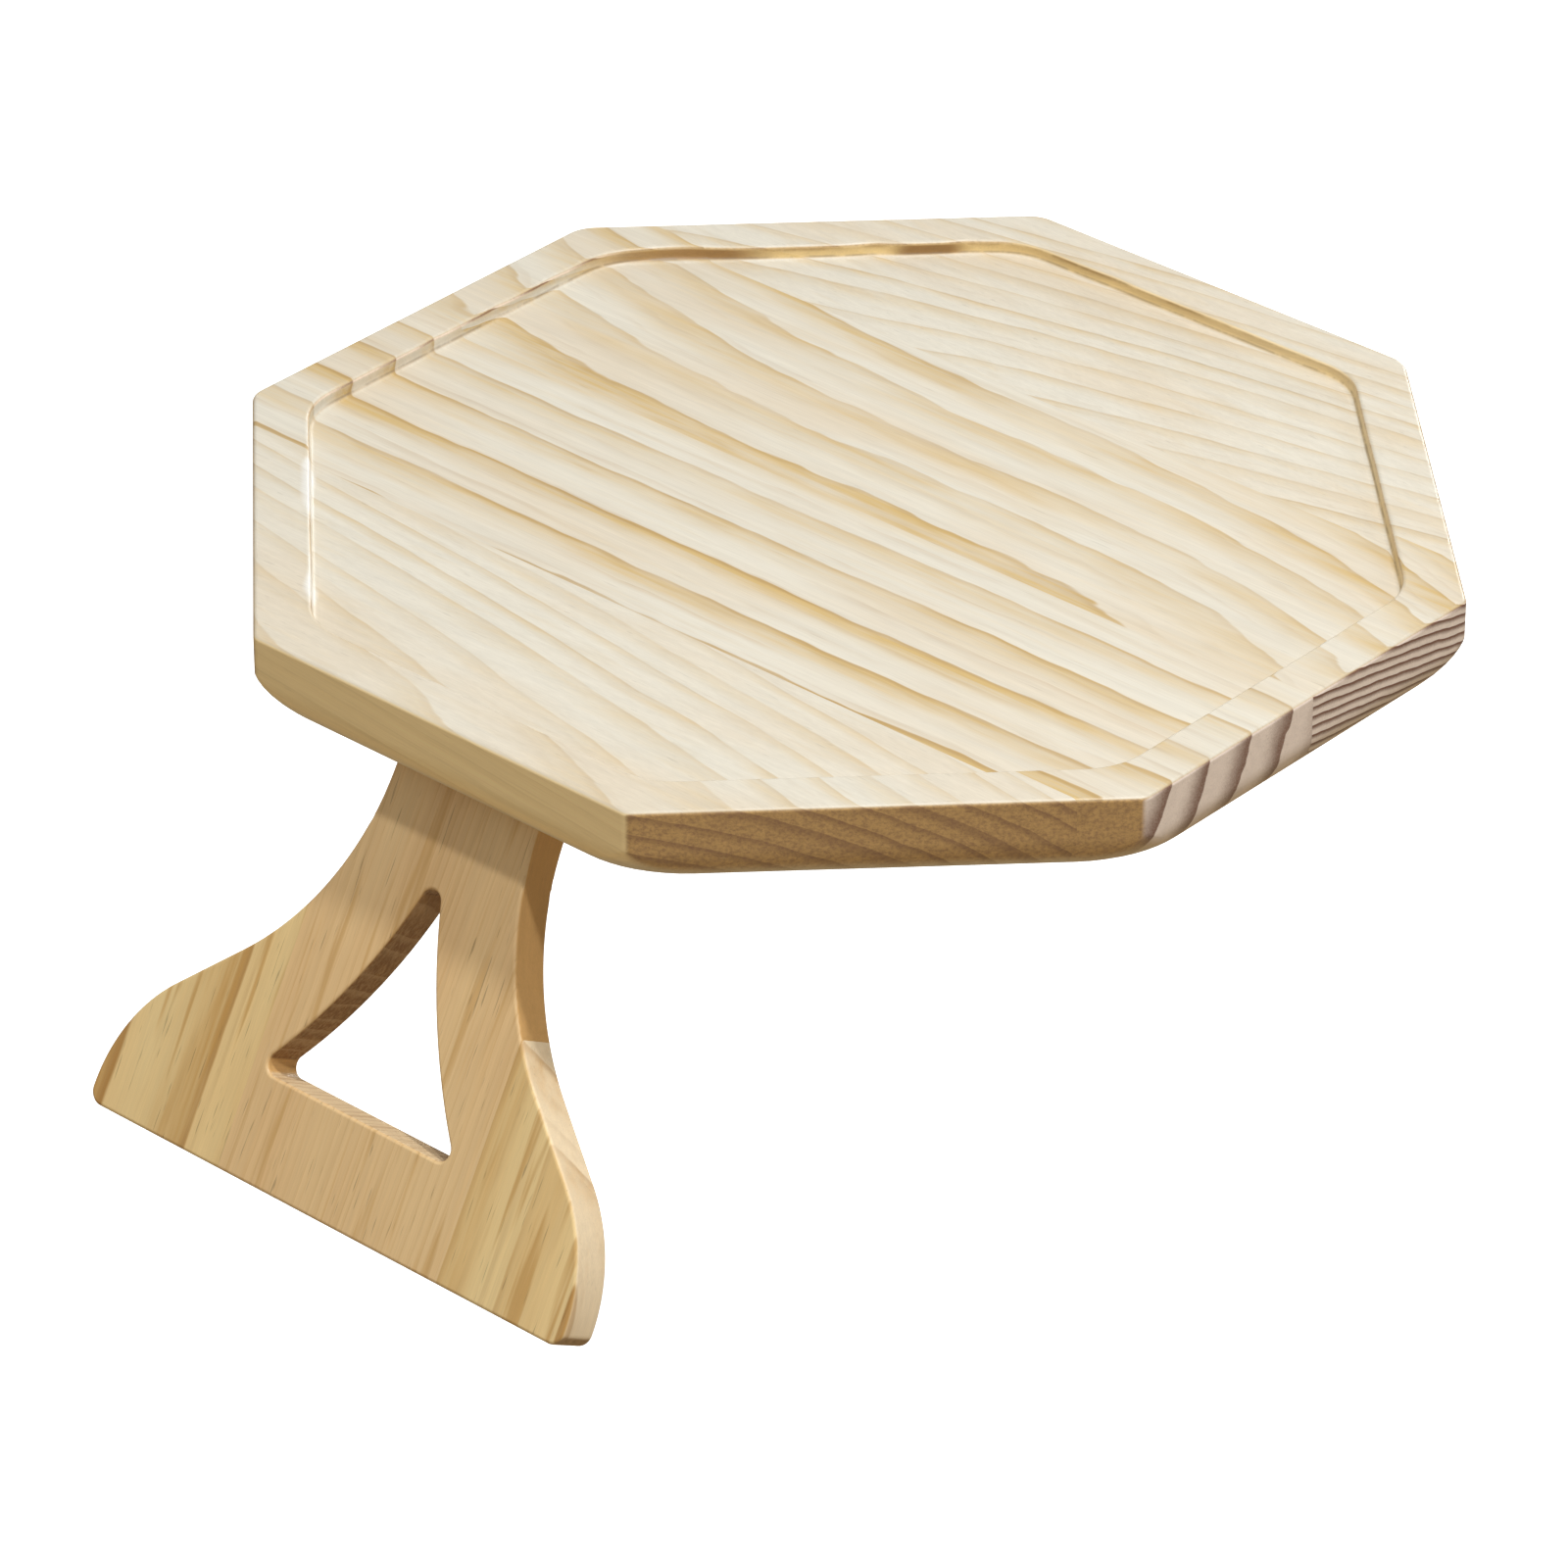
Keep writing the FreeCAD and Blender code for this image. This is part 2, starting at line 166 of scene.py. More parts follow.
class FinishColours(bpy.types.PropertyGroup):
    """Colours of the wood and the metal, as linear values."""

    tray_early: tint("Tray early wood", "Pale spring wood of the tray", (0.682, 0.648, 0.562))
    tray_warm: tint("Tray warm wood", "Warmer patches of the pale wood", (0.668, 0.598, 0.482))
    tray_late: tint("Tray late wood", "Bands of late wood in the tray", (0.58, 0.42, 0.185))
    tray_line: tint("Tray ring line", "Dark line where a ring ends", (0.40, 0.255, 0.105))
    leg_early: tint("Leg early wood", "Pale wood of the legs' outer staves", (0.86, 0.67, 0.345))
    leg_warm: tint("Leg warm wood", "Warmer patches of the outer staves", (0.83, 0.61, 0.295))
    leg_pink: tint("Leg pink wood", "Pale wood of the legs' middle stave", (0.80, 0.58, 0.31))
    leg_rose: tint("Leg rose wood", "Warmer patches of the middle stave", (0.76, 0.52, 0.265))
    leg_late: tint("Leg late wood", "Bands of late wood in the legs", (0.56, 0.325, 0.10))
    leg_line: tint("Leg ring line", "Dark line where a ring ends in a leg", (0.40, 0.205, 0.06))
    end_early: tint("End grain", "Early wood where the ends of the grain show", (0.94, 0.82, 0.74))
    end_late: tint("End grain rings", "Late wood where the ends of the grain show", (0.22, 0.115, 0.085))
    # Partly painted light: the sides take a warmer tone, and are painted lighter than the top to make up
    # for the weaker light on them
    side_tone_painted_lighter: tint("Side wood", "Pale wood on the tray's upright sides", (1.0, 0.80, 0.45))
    slant_and_shade: tint("Slanted grain", "What darkens the tray's sides across the grain", (0.60, 0.48, 0.36))
    golden: tint("Golden wall", "Recess wall towards the back", (0.80, 0.57, 0.22))
    # A broken dark line at the foot of the recess wall, where it meets the floor
    dust: tint("Dust", "Fine line of dust where the recess wall meets its floor", (0.24, 0.18, 0.12))
    # A painted highlight: a pale streak along one edge of the recess, where light glints off the varnish
    painted_glare: tint("Glare", "Sanding dust along one edge of the recess", (0.80, 0.80, 0.78))
    scorch: tint("Scorch", "Where the router burnt the recess wall", (0.30, 0.16, 0.05))
    leg_side: tint("Leg side wood", "Pale wood on the edges of the outer staves", (0.90, 0.75, 0.53))
    neck_side: tint("Neck side wood", "Browner wood on the edges of the middle stave", (0.66, 0.40, 0.16))
    # Painted shade: darkens the faces that look down the leg, such as the window's walls
    leg_slant: tint("Leg slanted grain", "What darkens the window's slanted walls", (0.36, 0.26, 0.155))
    leg_end_early: tint("Leg end grain", "Early wood on the cut ends of the legs", (0.72, 0.55, 0.34))
    leg_end_late: tint("Leg end rings", "Late wood on the cut ends of the legs", (0.58, 0.40, 0.22))
    zinc: tint("Zinc", "Plated hinge leaves and pins", (0.64, 0.63, 0.60))
    wire: tint("Wire", "Drawn spring wire", (0.50, 0.50, 0.51))


class StageSettings(bpy.types.PropertyGroup):
    """The floor, the light and the camera."""

    floor_drop: length("Floor drop", "How far the floor lies under the foot", 0.40)
    floor_size: length("Floor size", "Width of the floor", 14.0)
    front_power: amount("Front light", "Power of the front ceiling light", 13.0, "POWER")
    back_power: amount("Back light", "Power of the back ceiling light", 17.7, "POWER")
    window_power: amount("Window", "Power of the low light behind the tray", 11.0, "POWER")
    sky_strength: amount("Soft light", "Strength of the light all round", 0.28)
    camera_place: spot("Camera place", "Where the camera stands", (1.15632, -1.32190, 1.01542))
    camera_aim: spot("Camera aim", "What the camera points at", (0.08138, -0.11505, 0.0220))
    lens: amount("Lens", "Focal length in millimetres on a 36 mm sensor", 182.877, "DISTANCE_CAMERA")


# Node graphs

class Graph:
    """Adds nodes to a tree. An input takes a plain value or another node's output."""

    def __init__(self, tree):
        self.tree = tree
        tree.nodes.clear()

    def node(self, kind, inputs=None, **settings):
        made = self.tree.nodes.new(kind)
        for key, value in settings.items():
            setattr(made, key, value)
        for key, value in (inputs or {}).items():
            self.feed(made.inputs[key], value)
        return made

    def feed(self, socket, value):
        if isinstance(value, bpy.types.NodeSocket):
            self.tree.links.new(value, socket)
        else:
            socket.default_value = value

    def math(self, operation, *values, clamp=False):
        inputs = dict(enumerate(values))
        return self.node("ShaderNodeMath", inputs, operation=operation, use_clamp=clamp).outputs[0]

    def times(self, first, *others):
        """The product of several values."""
        for other in others:
            first = self.math("MULTIPLY", first, other)
        return first

    def scaled(self, value, factor, plus):
        """A value times a factor, plus another value."""
        return self.math("MULTIPLY_ADD", value, factor, plus)

    def vector(self, operation, *values, output="Vector"):
        inputs = dict(enumerate(values))
        return self.node("ShaderNodeVectorMath", inputs, operation=operation).outputs[output]

    def dot(self, first, second):
        return self.vector("DOT_PRODUCT", first, second, output="Value")

    def axis(self, vector, name):
        """One part of a vector: X, Y or Z."""
        return self.node("ShaderNodeSeparateXYZ", {"Vector": vector}).outputs[name]

    def step(self, value, low, high, to_low=0.0, to_high=1.0):
        """A smooth step from one level to another as value goes from low to high."""
        inputs = {"Value": value, "From Min": low, "From Max": high, "To Min": to_low, "To Max": to_high}
        return self.node("ShaderNodeMapRange", inputs, interpolation_type="SMOOTHSTEP").outputs["Result"]

    def fall(self, value, low, high):
        """A smooth step from one down to nothing."""
        return self.step(value, low, high, 1.0, 0.0)

    def mix(self, factor, first, second, blend="MIX"):
        made = self.node("ShaderNodeMix", data_type="RGBA", blend_type=blend)
        self.feed(made.inputs[0], factor)
        self.feed(made.inputs[6], first)
        self.feed(made.inputs[7], second)
        return made.outputs[2]

    def noise(self, vector, scale, detail=2.0, roughness=0.5, output="Fac"):
        inputs = {"Vector": vector, "Scale": scale, "Detail": detail, "Roughness": roughness}
        return self.node("ShaderNodeTexNoise", inputs).outputs[output]

    def grain(self, place, stretch, detail, roughness):
        """Noise drawn out along the grain. Stretch is how often it changes in a metre, on each axis."""
        return self.noise(self.vector("MULTIPLY", place, stretch), 1.0, detail, roughness)

    def surface(self, shader):
        self.node("ShaderNodeOutputMaterial", {"Surface": shader.outputs["BSDF"]})


def opaque(colour):
    """A linear colour with full alpha."""
    return (*colour, 1.0)


def new_material(name):
    """An empty node material and its graph."""
    material = bpy.data.materials.new(name)
    material.use_nodes = True
    return material, Graph(material.node_tree)


# Wood

@dataclass
class Board:
    """How one stave was sawn, in the board's own frame.

    The pith is where its tree's middle lies across the board, and tilt is how it leans there. Spacing is
    the width of a ring. Bend and shift move the rings, and uneven, waver and quiver make them irregular.
    Late wood starts at the share fade of a ring. Depth and line are how strongly the late wood and its dark
    lines show, cut how strongly rings show on cut ends, and slant_and_shade how strongly they show on
    slanted sides, which on the legs are the faces with painted shade.
    """

    pith: tuple
    spacing: float
    tilt: tuple = (0.0, 0.0)
    bend: float = 0.0
    shift: float = 0.0
    uneven: float = 0.5
    waver: float = 0.0012
    quiver: float = 0.001
    fade: float = 0.45
    seed: float = 0.0
    depth: float = 1.0
    line: float = 0.5
    cut: float = 1.0
    slant_and_shade: float = 1.0

    def pith_matrix(self, board_matrix):
        """The pith's frame: X runs along it, and Y and Z across it."""
        lean = Matrix.Rotation(self.tilt[0], 4, "Z") @ Matrix.Rotation(-self.tilt[1], 4, "Y")
        return board_matrix @ Matrix.Translation((0.0, self.pith[0], self.pith[1])) @ lean


TRAY_BOARDS = (
    Board(pith=(-0.172, -0.094), spacing=0.0052, tilt=(0.0, -0.095), waver=0.0010, seed=1.7, depth=0.6,
          line=0.22),
    Board(pith=(-0.1775, 0.078), spacing=0.0147, tilt=(0.006, 0.0), shift=0.64, uneven=0.3, waver=0.0012,
          quiver=0.003, fade=0.30, seed=4.1, depth=1.3, line=0.8, cut=0.75, slant_and_shade=0.1),
    Board(pith=(-0.093, -0.800), spacing=0.0026, bend=0.012, shift=0.096, uneven=0.0, waver=0.0006,
          quiver=0.0009, fade=0.20, seed=7.3, depth=1.2, line=0.45),
    Board(pith=(0.020, -0.088), spacing=0.0055, tilt=(0.0, 0.16), waver=0.0009, seed=9.2, depth=0.6,
          line=0.38),
)
LEG_BOARDS = {
    "left": Board(pith=(-0.110, 0.060), spacing=0.0210, shift=0.275, uneven=0.0, waver=0.0005, fade=0.15,
                  seed=2.2, depth=1.1, line=0.7),
    "middle": Board(pith=(-0.200, 0.010), spacing=0.0027, uneven=1.0, waver=0.0010, seed=5.9, depth=0.3,
                    line=0.18),
    "right": Board(pith=(0.120, 0.050), spacing=0.0170, shift=0.812, uneven=0.0, waver=0.0005, fade=0.25,
                   seed=8.8, depth=1.1, line=0.7),
}
BEND_REACH = 0.13

# How often each trait of the wood changes in a metre, along the grain and twice across it
RING_WANDER = (5.0, 22.0, 22.0)
RING_QUIVER = (38.0, 150.0, 150.0)
RING_BREAKS = (16.0, 120.0, 120.0)
SLOW_PATCHES = (9.0, 40.0, 40.0)
FIBRES = (70.0, 2600.0, 2600.0)
STREAKS = (11.0, 420.0, 420.0)
TORN_FIBRES = (260.0, 1100.0, 1100.0)
RESIN_STREAKS = (15.0, 300.0, 300.0)
RESIN_CANALS = (90.0, 1500.0, 1500.0)
PORES = (400.0, 2600.0, 2600.0)

# Bounds between which a part of a ring comes or goes, as shares of the ring
RING_END = (0.962, 0.998)
DARK_LINE = (0.86, 0.965)
LATE_FULL = 0.97
FAINT_LINE = (0.55, 0.93)
FAINT_END = (0.93, 0.99)

# Bounds of a surface's direction, as cosines, between which it becomes a side, a cut end or a slanted side
SIDE_LEAN = (0.30, 0.85)
END_LEAN = (0.72, 0.95)
SLANT_LEAN = (0.25, 0.60)
# Faces looking down a leg between these bounds are darkened as painted shade
LEG_DOWN_SHADE_LEAN = (0.10, 0.40)
LONG_EDGE_LEAN = (0.5, 0.9)


def growth_rings(graph, place, board):
    """The late wood of the rings, the dark lines at their ends, and the late wood as a cut end shows it."""
    slow = graph.vector("MULTIPLY", place, RING_WANDER)
    slow = graph.vector("ADD", slow, (board.seed, board.seed * 0.7, 0.0))
    wander = graph.vector("SUBTRACT", graph.noise(slow, 1.0, output="Color"), (0.5, 0.5, 0.5))
    wander = graph.vector("MULTIPLY", wander, (0.0, 4.0 * board.waver, 4.0 * board.waver))
    quiver = graph.math("SUBTRACT", graph.grain(place, RING_QUIVER, 2.0, 0.5), 0.5)
    across = graph.vector("MULTIPLY", graph.vector("ADD", place, wander), (0.0, 1.0, 1.0))
    if board.bend:
        along = graph.math("DIVIDE", graph.axis(place, "X"), BEND_REACH)
        sweep = {"Y": graph.times(along, along, along, board.bend)}
        across = graph.vector("ADD", across, graph.node("ShaderNodeCombineXYZ", sweep).outputs["Vector"])
    radius = graph.vector("LENGTH", across, output="Value")
    radius = graph.scaled(quiver, board.quiver, radius)

    # The ring's number, and how far through the ring a point lies
    count = graph.scaled(radius, 1.0 / board.spacing, board.shift)
    if board.uneven:
        inputs = {"W": count, "Scale": 0.9, "Detail": 0.0}
        drift = graph.node("ShaderNodeTexNoise", inputs, noise_dimensions="1D").outputs["Fac"]
        count = graph.scaled(drift, board.uneven, count)
    part = graph.math("FRACT", count)
    year = graph.node("ShaderNodeTexWhiteNoise", {"W": graph.math("FLOOR", count)}, noise_dimensions="1D")
    broken = graph.grain(place, RING_BREAKS, 3.0, 0.6)
    strength = graph.scaled(year.outputs["Value"], 0.5, 0.5)
    strength = graph.times(strength, graph.step(broken, 0.30, 0.62, 0.45, 1.0))
    ring_end = graph.fall(part, *RING_END)
    late = graph.times(graph.step(part, board.fade, LATE_FULL), ring_end)
    line = graph.times(graph.step(part, *DARK_LINE), ring_end, strength)

    # Faint lines between the rings
    faint = graph.math("FRACT", graph.scaled(count, 2.6, 0.3))
    faint = graph.times(graph.step(faint, *FAINT_LINE), graph.fall(faint, *FAINT_END))
    faint = graph.times(faint, graph.step(broken, 0.42, 0.66, 0.0, 0.28))
    return graph.times(late, strength), graph.math("MAXIMUM", line, faint), late


@dataclass
class Wood:
    """The colours of one kind of board: broad faces, sides and cut ends, and how much resin shows."""

    early: tuple
    warm: tuple
    late: tuple
    line: tuple
    side: tuple
    slant_and_shade: tuple
    end_early: tuple
    end_late: tuple
    dashes: float
    resin: float
    # When false, the slant mask marks the faces that look down the board, which are darkened as painted
    # shade
    slants_both_ways: bool


LEG_RINGS = ("leg_late", "leg_line")
LEG_SHADE_AND_CUTS = ("leg_slant", "leg_end_early", "leg_end_late")
TRAY_COLOURS = ("tray_early", "tray_warm", "tray_late", "tray_line", "side_tone_painted_lighter", "slant_and_shade", "end_early",
                "end_late")
OUTER_COLOURS = ("leg_early", "leg_warm", *LEG_RINGS, "leg_side", *LEG_SHADE_AND_CUTS)
MIDDLE_COLOURS = ("leg_pink", "leg_rose", *LEG_RINGS, "neck_side", *LEG_SHADE_AND_CUTS)
SIDE_DASHES = 0.12


def kind_of_wood(colours, names, dashes, resin, slants_both_ways):
    """A kind of board in the named colours."""
    return Wood(*[opaque(getattr(colours, name)) for name in names], dashes, resin, slants_both_ways)


def recess_wall(graph, coords):
    """Where the surface is the recess wall: between its floor and the rim, and looking in at the middle."""
    place = coords.outputs["Object"]
    outward = graph.vector("NORMALIZE", graph.vector("MULTIPLY", place, (1.0, 1.0, 0.0)))
    toward = graph.dot(coords.outputs["Normal"], outward)
    rise = height_over_floor(graph, place)
    under_rim = graph.math("SUBTRACT", rise, bpy.context.scene.arm_tray_sizes.recess_depth)
    within = graph.times(graph.step(rise, *WALL_FOOT), graph.fall(under_rim, *WALL_HEAD))
    return graph.times(within, graph.fall(toward, *LOOKS_IN))


def height_over_floor(graph, place):
    """How high a point lies over the recess floor."""
    sizes = bpy.context.scene.arm_tray_sizes
    return graph.math("SUBTRACT", graph.axis(place, "Z"), sizes.thickness - sizes.recess_depth)


# Bounds in metres between which traits of the recess wall come or go: heights over the recess floor
WALL_FOOT = (0.0002, 0.0009)
BURNT_RISE = (0.0018, 0.0034)
FOOT_LINE_RISE = (0.0006, 0.0013)
GLARE_RISE = (-0.003, -0.001)

# Height from the rim, and the cosine between the surface and the way outward
WALL_HEAD = (-0.0012, -0.0005)
LOOKS_IN = (-0.25, 0.05)

# Places on Y and X, then distances past the wall and along it from its middle
BACK = (0.03, 0.075)
RIGHT = (-0.03, 0.09)
FOOT_LINE_FADE = (-0.008, -0.001)
GLARE_FADE = (-0.0009, 0.0009)
GLARE_ENDS = (0.042, 0.053)

# Deep burns on the recess wall: X, Y and reach. Then the side with the painted highlight: out of it and
# along it
BURNS = ((-0.121, 0.070, 0.030), (-0.074, 0.118, 0.013))
GLARE_SIDE = (-math.sqrt(0.5), -math.sqrt(0.5), 0.0)
GLARE_LINE = (math.sqrt(0.5), -math.sqrt(0.5), 0.0)
GLARE_FROM_WALL = 0.0004
GLARE_SPREAD = 0.009
GLARE_LEAST = -0.0038


def routed_wall(graph, coords, colour, wall, finish):
    """Tints the recess wall: painted paler on the right, where it lies in shade, golden and burnt towards
    the back, with a broken dark line at its foot and a painted highlight along one side.
    """
    sizes = bpy.context.scene.arm_tray_sizes
    floor = sizes.thickness - sizes.recess_depth
    place = coords.outputs["Object"]
    rise = height_over_floor(graph, place)
    back = graph.times(graph.step(graph.axis(place, "Y"), *BACK), wall)
    right = graph.step(graph.axis(place, "X"), *RIGHT)
    # Painted light: the wall on the right lies in shade and is painted paler with the side colour
    colour = graph.mix(graph.times(right, wall, 0.8), colour, opaque(finish.side_tone_painted_lighter))
    golden = graph.times(back, graph.scaled(right, -0.45, 0.8))
    colour = graph.mix(golden, colour, opaque(finish.golden))

    # Burns, in patches along the top of the wall and deeper in a few places
    burnt = graph.step(graph.noise(place, 45.0, 5.0, 0.65), 0.36, 0.62, 0.1, 1.0)
    burnt = graph.times(burnt, graph.step(rise, *BURNT_RISE))
    for x, y, reach in BURNS:
        away = graph.vector("DISTANCE", place, (x, y, floor), output="Value")
        burnt = graph.math("MAXIMUM", burnt, graph.step(away, 0.4 * reach, reach, 0.95, 0.0))
    burnt = graph.times(back, burnt, graph.scaled(right, -0.75, 1.0))
    colour = graph.mix(burnt, colour, opaque(finish.scorch))

    # A broken dark line at the foot of the wall, where it meets the floor
    past_wall = graph.dot(place, GLARE_SIDE)
    past_wall = graph.math("SUBTRACT", past_wall, sizes.across_flats / 2 - sizes.rim_width)
    broken_line = graph.step(graph.noise(place, 160.0, 3.0, 0.6), 0.35, 0.60, 0.15, 0.75)
    broken_line = graph.times(broken_line, graph.fall(past_wall, *FOOT_LINE_FADE))
    foot_line_mask = graph.times(wall, graph.fall(rise, *FOOT_LINE_RISE), broken_line)
    colour = graph.mix(foot_line_mask, colour, opaque(finish.dust))

    # A painted highlight, smeared along one edge, where light glints off the varnish
    glare_noise = graph.grain(place, (50.0, 50.0, 0.0), 1.0, 0.4)
    away = graph.math("ABSOLUTE", graph.math("SUBTRACT", past_wall, GLARE_FROM_WALL))
    away = graph.math("SUBTRACT", away, graph.scaled(glare_noise, GLARE_SPREAD, GLARE_LEAST))
    along = graph.math("ABSOLUTE", graph.dot(place, GLARE_LINE))
    glare_mask = graph.times(graph.fall(away, *GLARE_FADE), graph.step(along, *GLARE_ENDS, 0.75, 0.0))
    glare_mask = graph.times(glare_mask, graph.step(rise, *GLARE_RISE))
    return graph.mix(glare_mask, colour, opaque(finish.painted_glare))


def pine(name, board, matrix, wood, routed=False):
    """Clear satin varnished pine, whose growth rings run through the solid."""
    finish = bpy.context.scene.arm_tray_colours
    material, graph = new_material(name)
    coords = graph.node("ShaderNodeTexCoord")
    normal = coords.outputs["Normal"]
    pith = board.pith_matrix(matrix)
    mapping = graph.node(
        "ShaderNodeMapping",
        {"Vector": coords.outputs["Object"], "Location": pith.translation, "Rotation": pith.to_euler()},
        vector_type="TEXTURE",
    )
    place = mapping.outputs["Vector"]
    late, line, cut_late = growth_rings(graph, place, board)

    # Which way the surface looks: along the board's grain, across it, or out of its broad face
    turn = matrix.to_3x3()
    along, across, out = [graph.math("ABSOLUTE", graph.dot(normal, axis)) for axis in turn.col]
    wall = recess_wall(graph, coords) if routed else 0.0
    outside = graph.math("SUBTRACT", 1.0, wall)
    side = graph.times(graph.fall(out, *SIDE_LEAN), outside)
    end = graph.times(graph.step(along, *END_LEAN), outside)
    # On the tray the slant mask marks sides that cross the grain at a slant; on the legs it marks the faces
    # that look down the leg, darkened as painted shade
    if wood.slants_both_ways:
        slant_and_shade = graph.step(along, *SLANT_LEAN)
    else:
        slant_and_shade = graph.step(graph.dot(normal, turn.col[0]), *LEG_DOWN_SHADE_LEAN)
    slant_and_shade = graph.times(slant_and_shade, side)

    # Pale wood with slow patches
    patches = graph.grain(place, SLOW_PATCHES, 3.0, 0.55)
    colour = graph.mix(graph.step(patches, 0.35, 0.70), wood.early, wood.warm)
    # Sides take their own colour; on the tray it is painted lighter to make up for the weaker light on the
    # sides
    colour = graph.mix(side, colour, wood.side)
    fibres = graph.grain(place, FIBRES, 3.0, 0.65)
    streaks = graph.step(graph.grain(place, STREAKS, 3.0, 0.65), 0.30, 0.70)

    # Rings, which show less on the long edges
    edge = graph.step(across, *LONG_EDGE_LEAN, 1.0, 0.4)
    edge = graph.times(edge, graph.scaled(slant_and_shade, board.slant_and_shade - 1.0, 1.0))
    mottle = graph.scaled(streaks, 0.65, 0.55)
    ring = graph.math("MULTIPLY", late, graph.times(mottle, board.depth), clamp=True)
    colour = graph.mix(graph.times(ring, edge), colour, wood.late)
    colour = graph.mix(graph.times(line, edge, board.line), colour, wood.line)

    # Dark, torn fibres where a side crosses the grain at a slant, which on the legs is painted shade on the
    # faces that look down the leg, and streaks of resin on the faces
    colour = graph.mix(slant_and_shade, colour, wood.slant_and_shade, "MULTIPLY")
    torn = graph.step(graph.grain(place, TORN_FIBRES, 4.0, 0.75), 0.38, 0.68, 0.0, 0.55)
    colour = graph.mix(graph.times(torn, slant_and_shade), colour, wood.end_late)
    resin = graph.step(graph.grain(place, RESIN_STREAKS, 2.0, 0.5), 0.55, 0.70, 0.0, wood.resin)
    colour = graph.mix(graph.times(resin, graph.scaled(side, -0.85, 1.0)), colour, wood.late)

    # End grain, whose rings show more
    pores = graph.grain(place, PORES, 2.0, 0.7)
    cut_ring = graph.scaled(cut_late, 1.25 * board.cut, -0.42 * board.cut)
    cut_ring = graph.math("MULTIPLY_ADD", pores, 0.6, cut_ring, clamp=True)
    # Rings darken slanted sides more; on the legs this adds to the painted shade on the faces that look
    # down the leg
    colour = graph.mix(graph.times(slant_and_shade, 0.40 * board.slant_and_shade, cut_ring), colour, wood.end_late)
    colour = graph.mix(end, colour, graph.mix(cut_ring, wood.end_early, wood.end_late))
    if routed:
        colour = routed_wall(graph, coords, colour, wall, finish)

    # Fibres, and the short dashes of resin canals along the grain
    shade = graph.times(graph.scaled(fibres, 0.24, 0.88), graph.scaled(streaks, 0.07, 0.965))
    canals = graph.step(graph.grain(place, RESIN_CANALS, 1.0, 0.4), 0.70, 0.79)
    dashes = graph.times(canals, graph.step(side, 0.0, 0.6, wood.dashes, SIDE_DASHES))
    shade = graph.times(shade, graph.math("SUBTRACT", 1.0, dashes))
    grey = graph.node("ShaderNodeCombineColor", dict(enumerate((shade,) * 3))).outputs[0]
    colour = graph.mix(1.0, colour, grey, "MULTIPLY")

    # Satin varnish over faintly raised grain
    roughness = graph.scaled(late, -0.10, graph.scaled(fibres, 0.16, 0.40))
    relief = graph.scaled(fibres, 0.5, graph.times(late, 0.6))
    bump = graph.node("ShaderNodeBump", {"Strength": 0.35, "Distance": 0.00008, "Height": relief})
    shader = graph.node("ShaderNodeBsdfPrincipled", {
        "Base Color": colour, "Roughness": roughness, "Normal": bump.outputs["Normal"],
        "Specular IOR Level": 0.4, "Coat Weight": 0.12, "Coat Roughness": 0.25,
    })
    graph.surface(shader)
    return material


def plated_steel(name, colour, roughness, along=(1.0, 1.0, 1.0)):
    """Plated steel with faint cloudy patches and fine rubbing marks, drawn out along some axes."""
    material, graph = new_material(name)
    place = graph.node("ShaderNodeTexCoord").outputs["Object"]
    clouds = graph.noise(place, 240.0, 4.0, 0.6)
    rubbed = graph.noise(graph.vector("MULTIPLY", place, along), 900.0, 4.0, 0.7)
    dark = opaque(0.76 * c for c in colour)
    bright = opaque(min(1.0, 1.25 * c) for c in colour)
    tone = graph.mix(graph.step(clouds, 0.30, 0.72), opaque(colour), dark)
    tone = graph.mix(graph.step(rubbed, 0.55, 0.85, 0.0, 0.35), tone, bright)
    rough = graph.scaled(clouds, 0.22, graph.scaled(rubbed, 0.18, roughness - 0.2))
    bump = graph.node("ShaderNodeBump", {"Strength": 0.25, "Distance": 0.00004, "Height": rubbed})
    shader = graph.node("ShaderNodeBsdfPrincipled", {
        "Base Color": tone, "Roughness": rough, "Normal": bump.outputs["Normal"], "Metallic": 1.0,
    })
    graph.surface(shader)
    return material


# Meshes

MERGE_DISTANCE = 1e-6
SAW_TOLERANCE = 1e-7


def placed(name, data):
    """A new object in the scene."""
    made = bpy.data.objects.new(name, data)
    bpy.context.scene.collection.objects.link(made)
    return made


def mesh_from(name, made):
    """A mesh of a finished bmesh, which is freed."""
    mesh = bpy.data.meshes.new(name)
    made.to_mesh(mesh)
    made.free()
    return mesh


def new_piece(name, mesh, body, nodes, material):
    """A finished piece that rides on a body and stands for its CAD nodes."""
    piece = placed(name, mesh)
    mesh.materials.clear()
    mesh.materials.append(material)
    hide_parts(*nodes)
    if body:
        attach(piece, body)
    return piece


def bridge(made, loops):
    """Joins loops of points in a row with faces."""
    for loop, other in zip(loops, loops[1:]):
        for k in range(len(loop)):
            following = (k + 1) % len(loop)
            made.faces.new((loop[k], other[k], other[following], loop[following]))


def applied(mesh, kind, inputs=None, **settings):
    """A plain mesh of what one modifier makes of a mesh, with the inputs of its node tree by identifier."""
    carrier = placed("carrier", mesh)
    modifier = carrier.modifiers.new(kind.lower(), kind)
    for key, value in settings.items():
        setattr(modifier, key, value)
    for key, value in (inputs or {}).items():
        modifier[key] = value
    bpy.context.view_layer.update()
    graph = bpy.context.evaluated_depsgraph_get()
    made = bpy.data.meshes.new_from_object(carrier.evaluated_get(graph), depsgraph=graph)
    carrier.modifiers.remove(modifier)
    bpy.data.objects.remove(carrier)
    return made


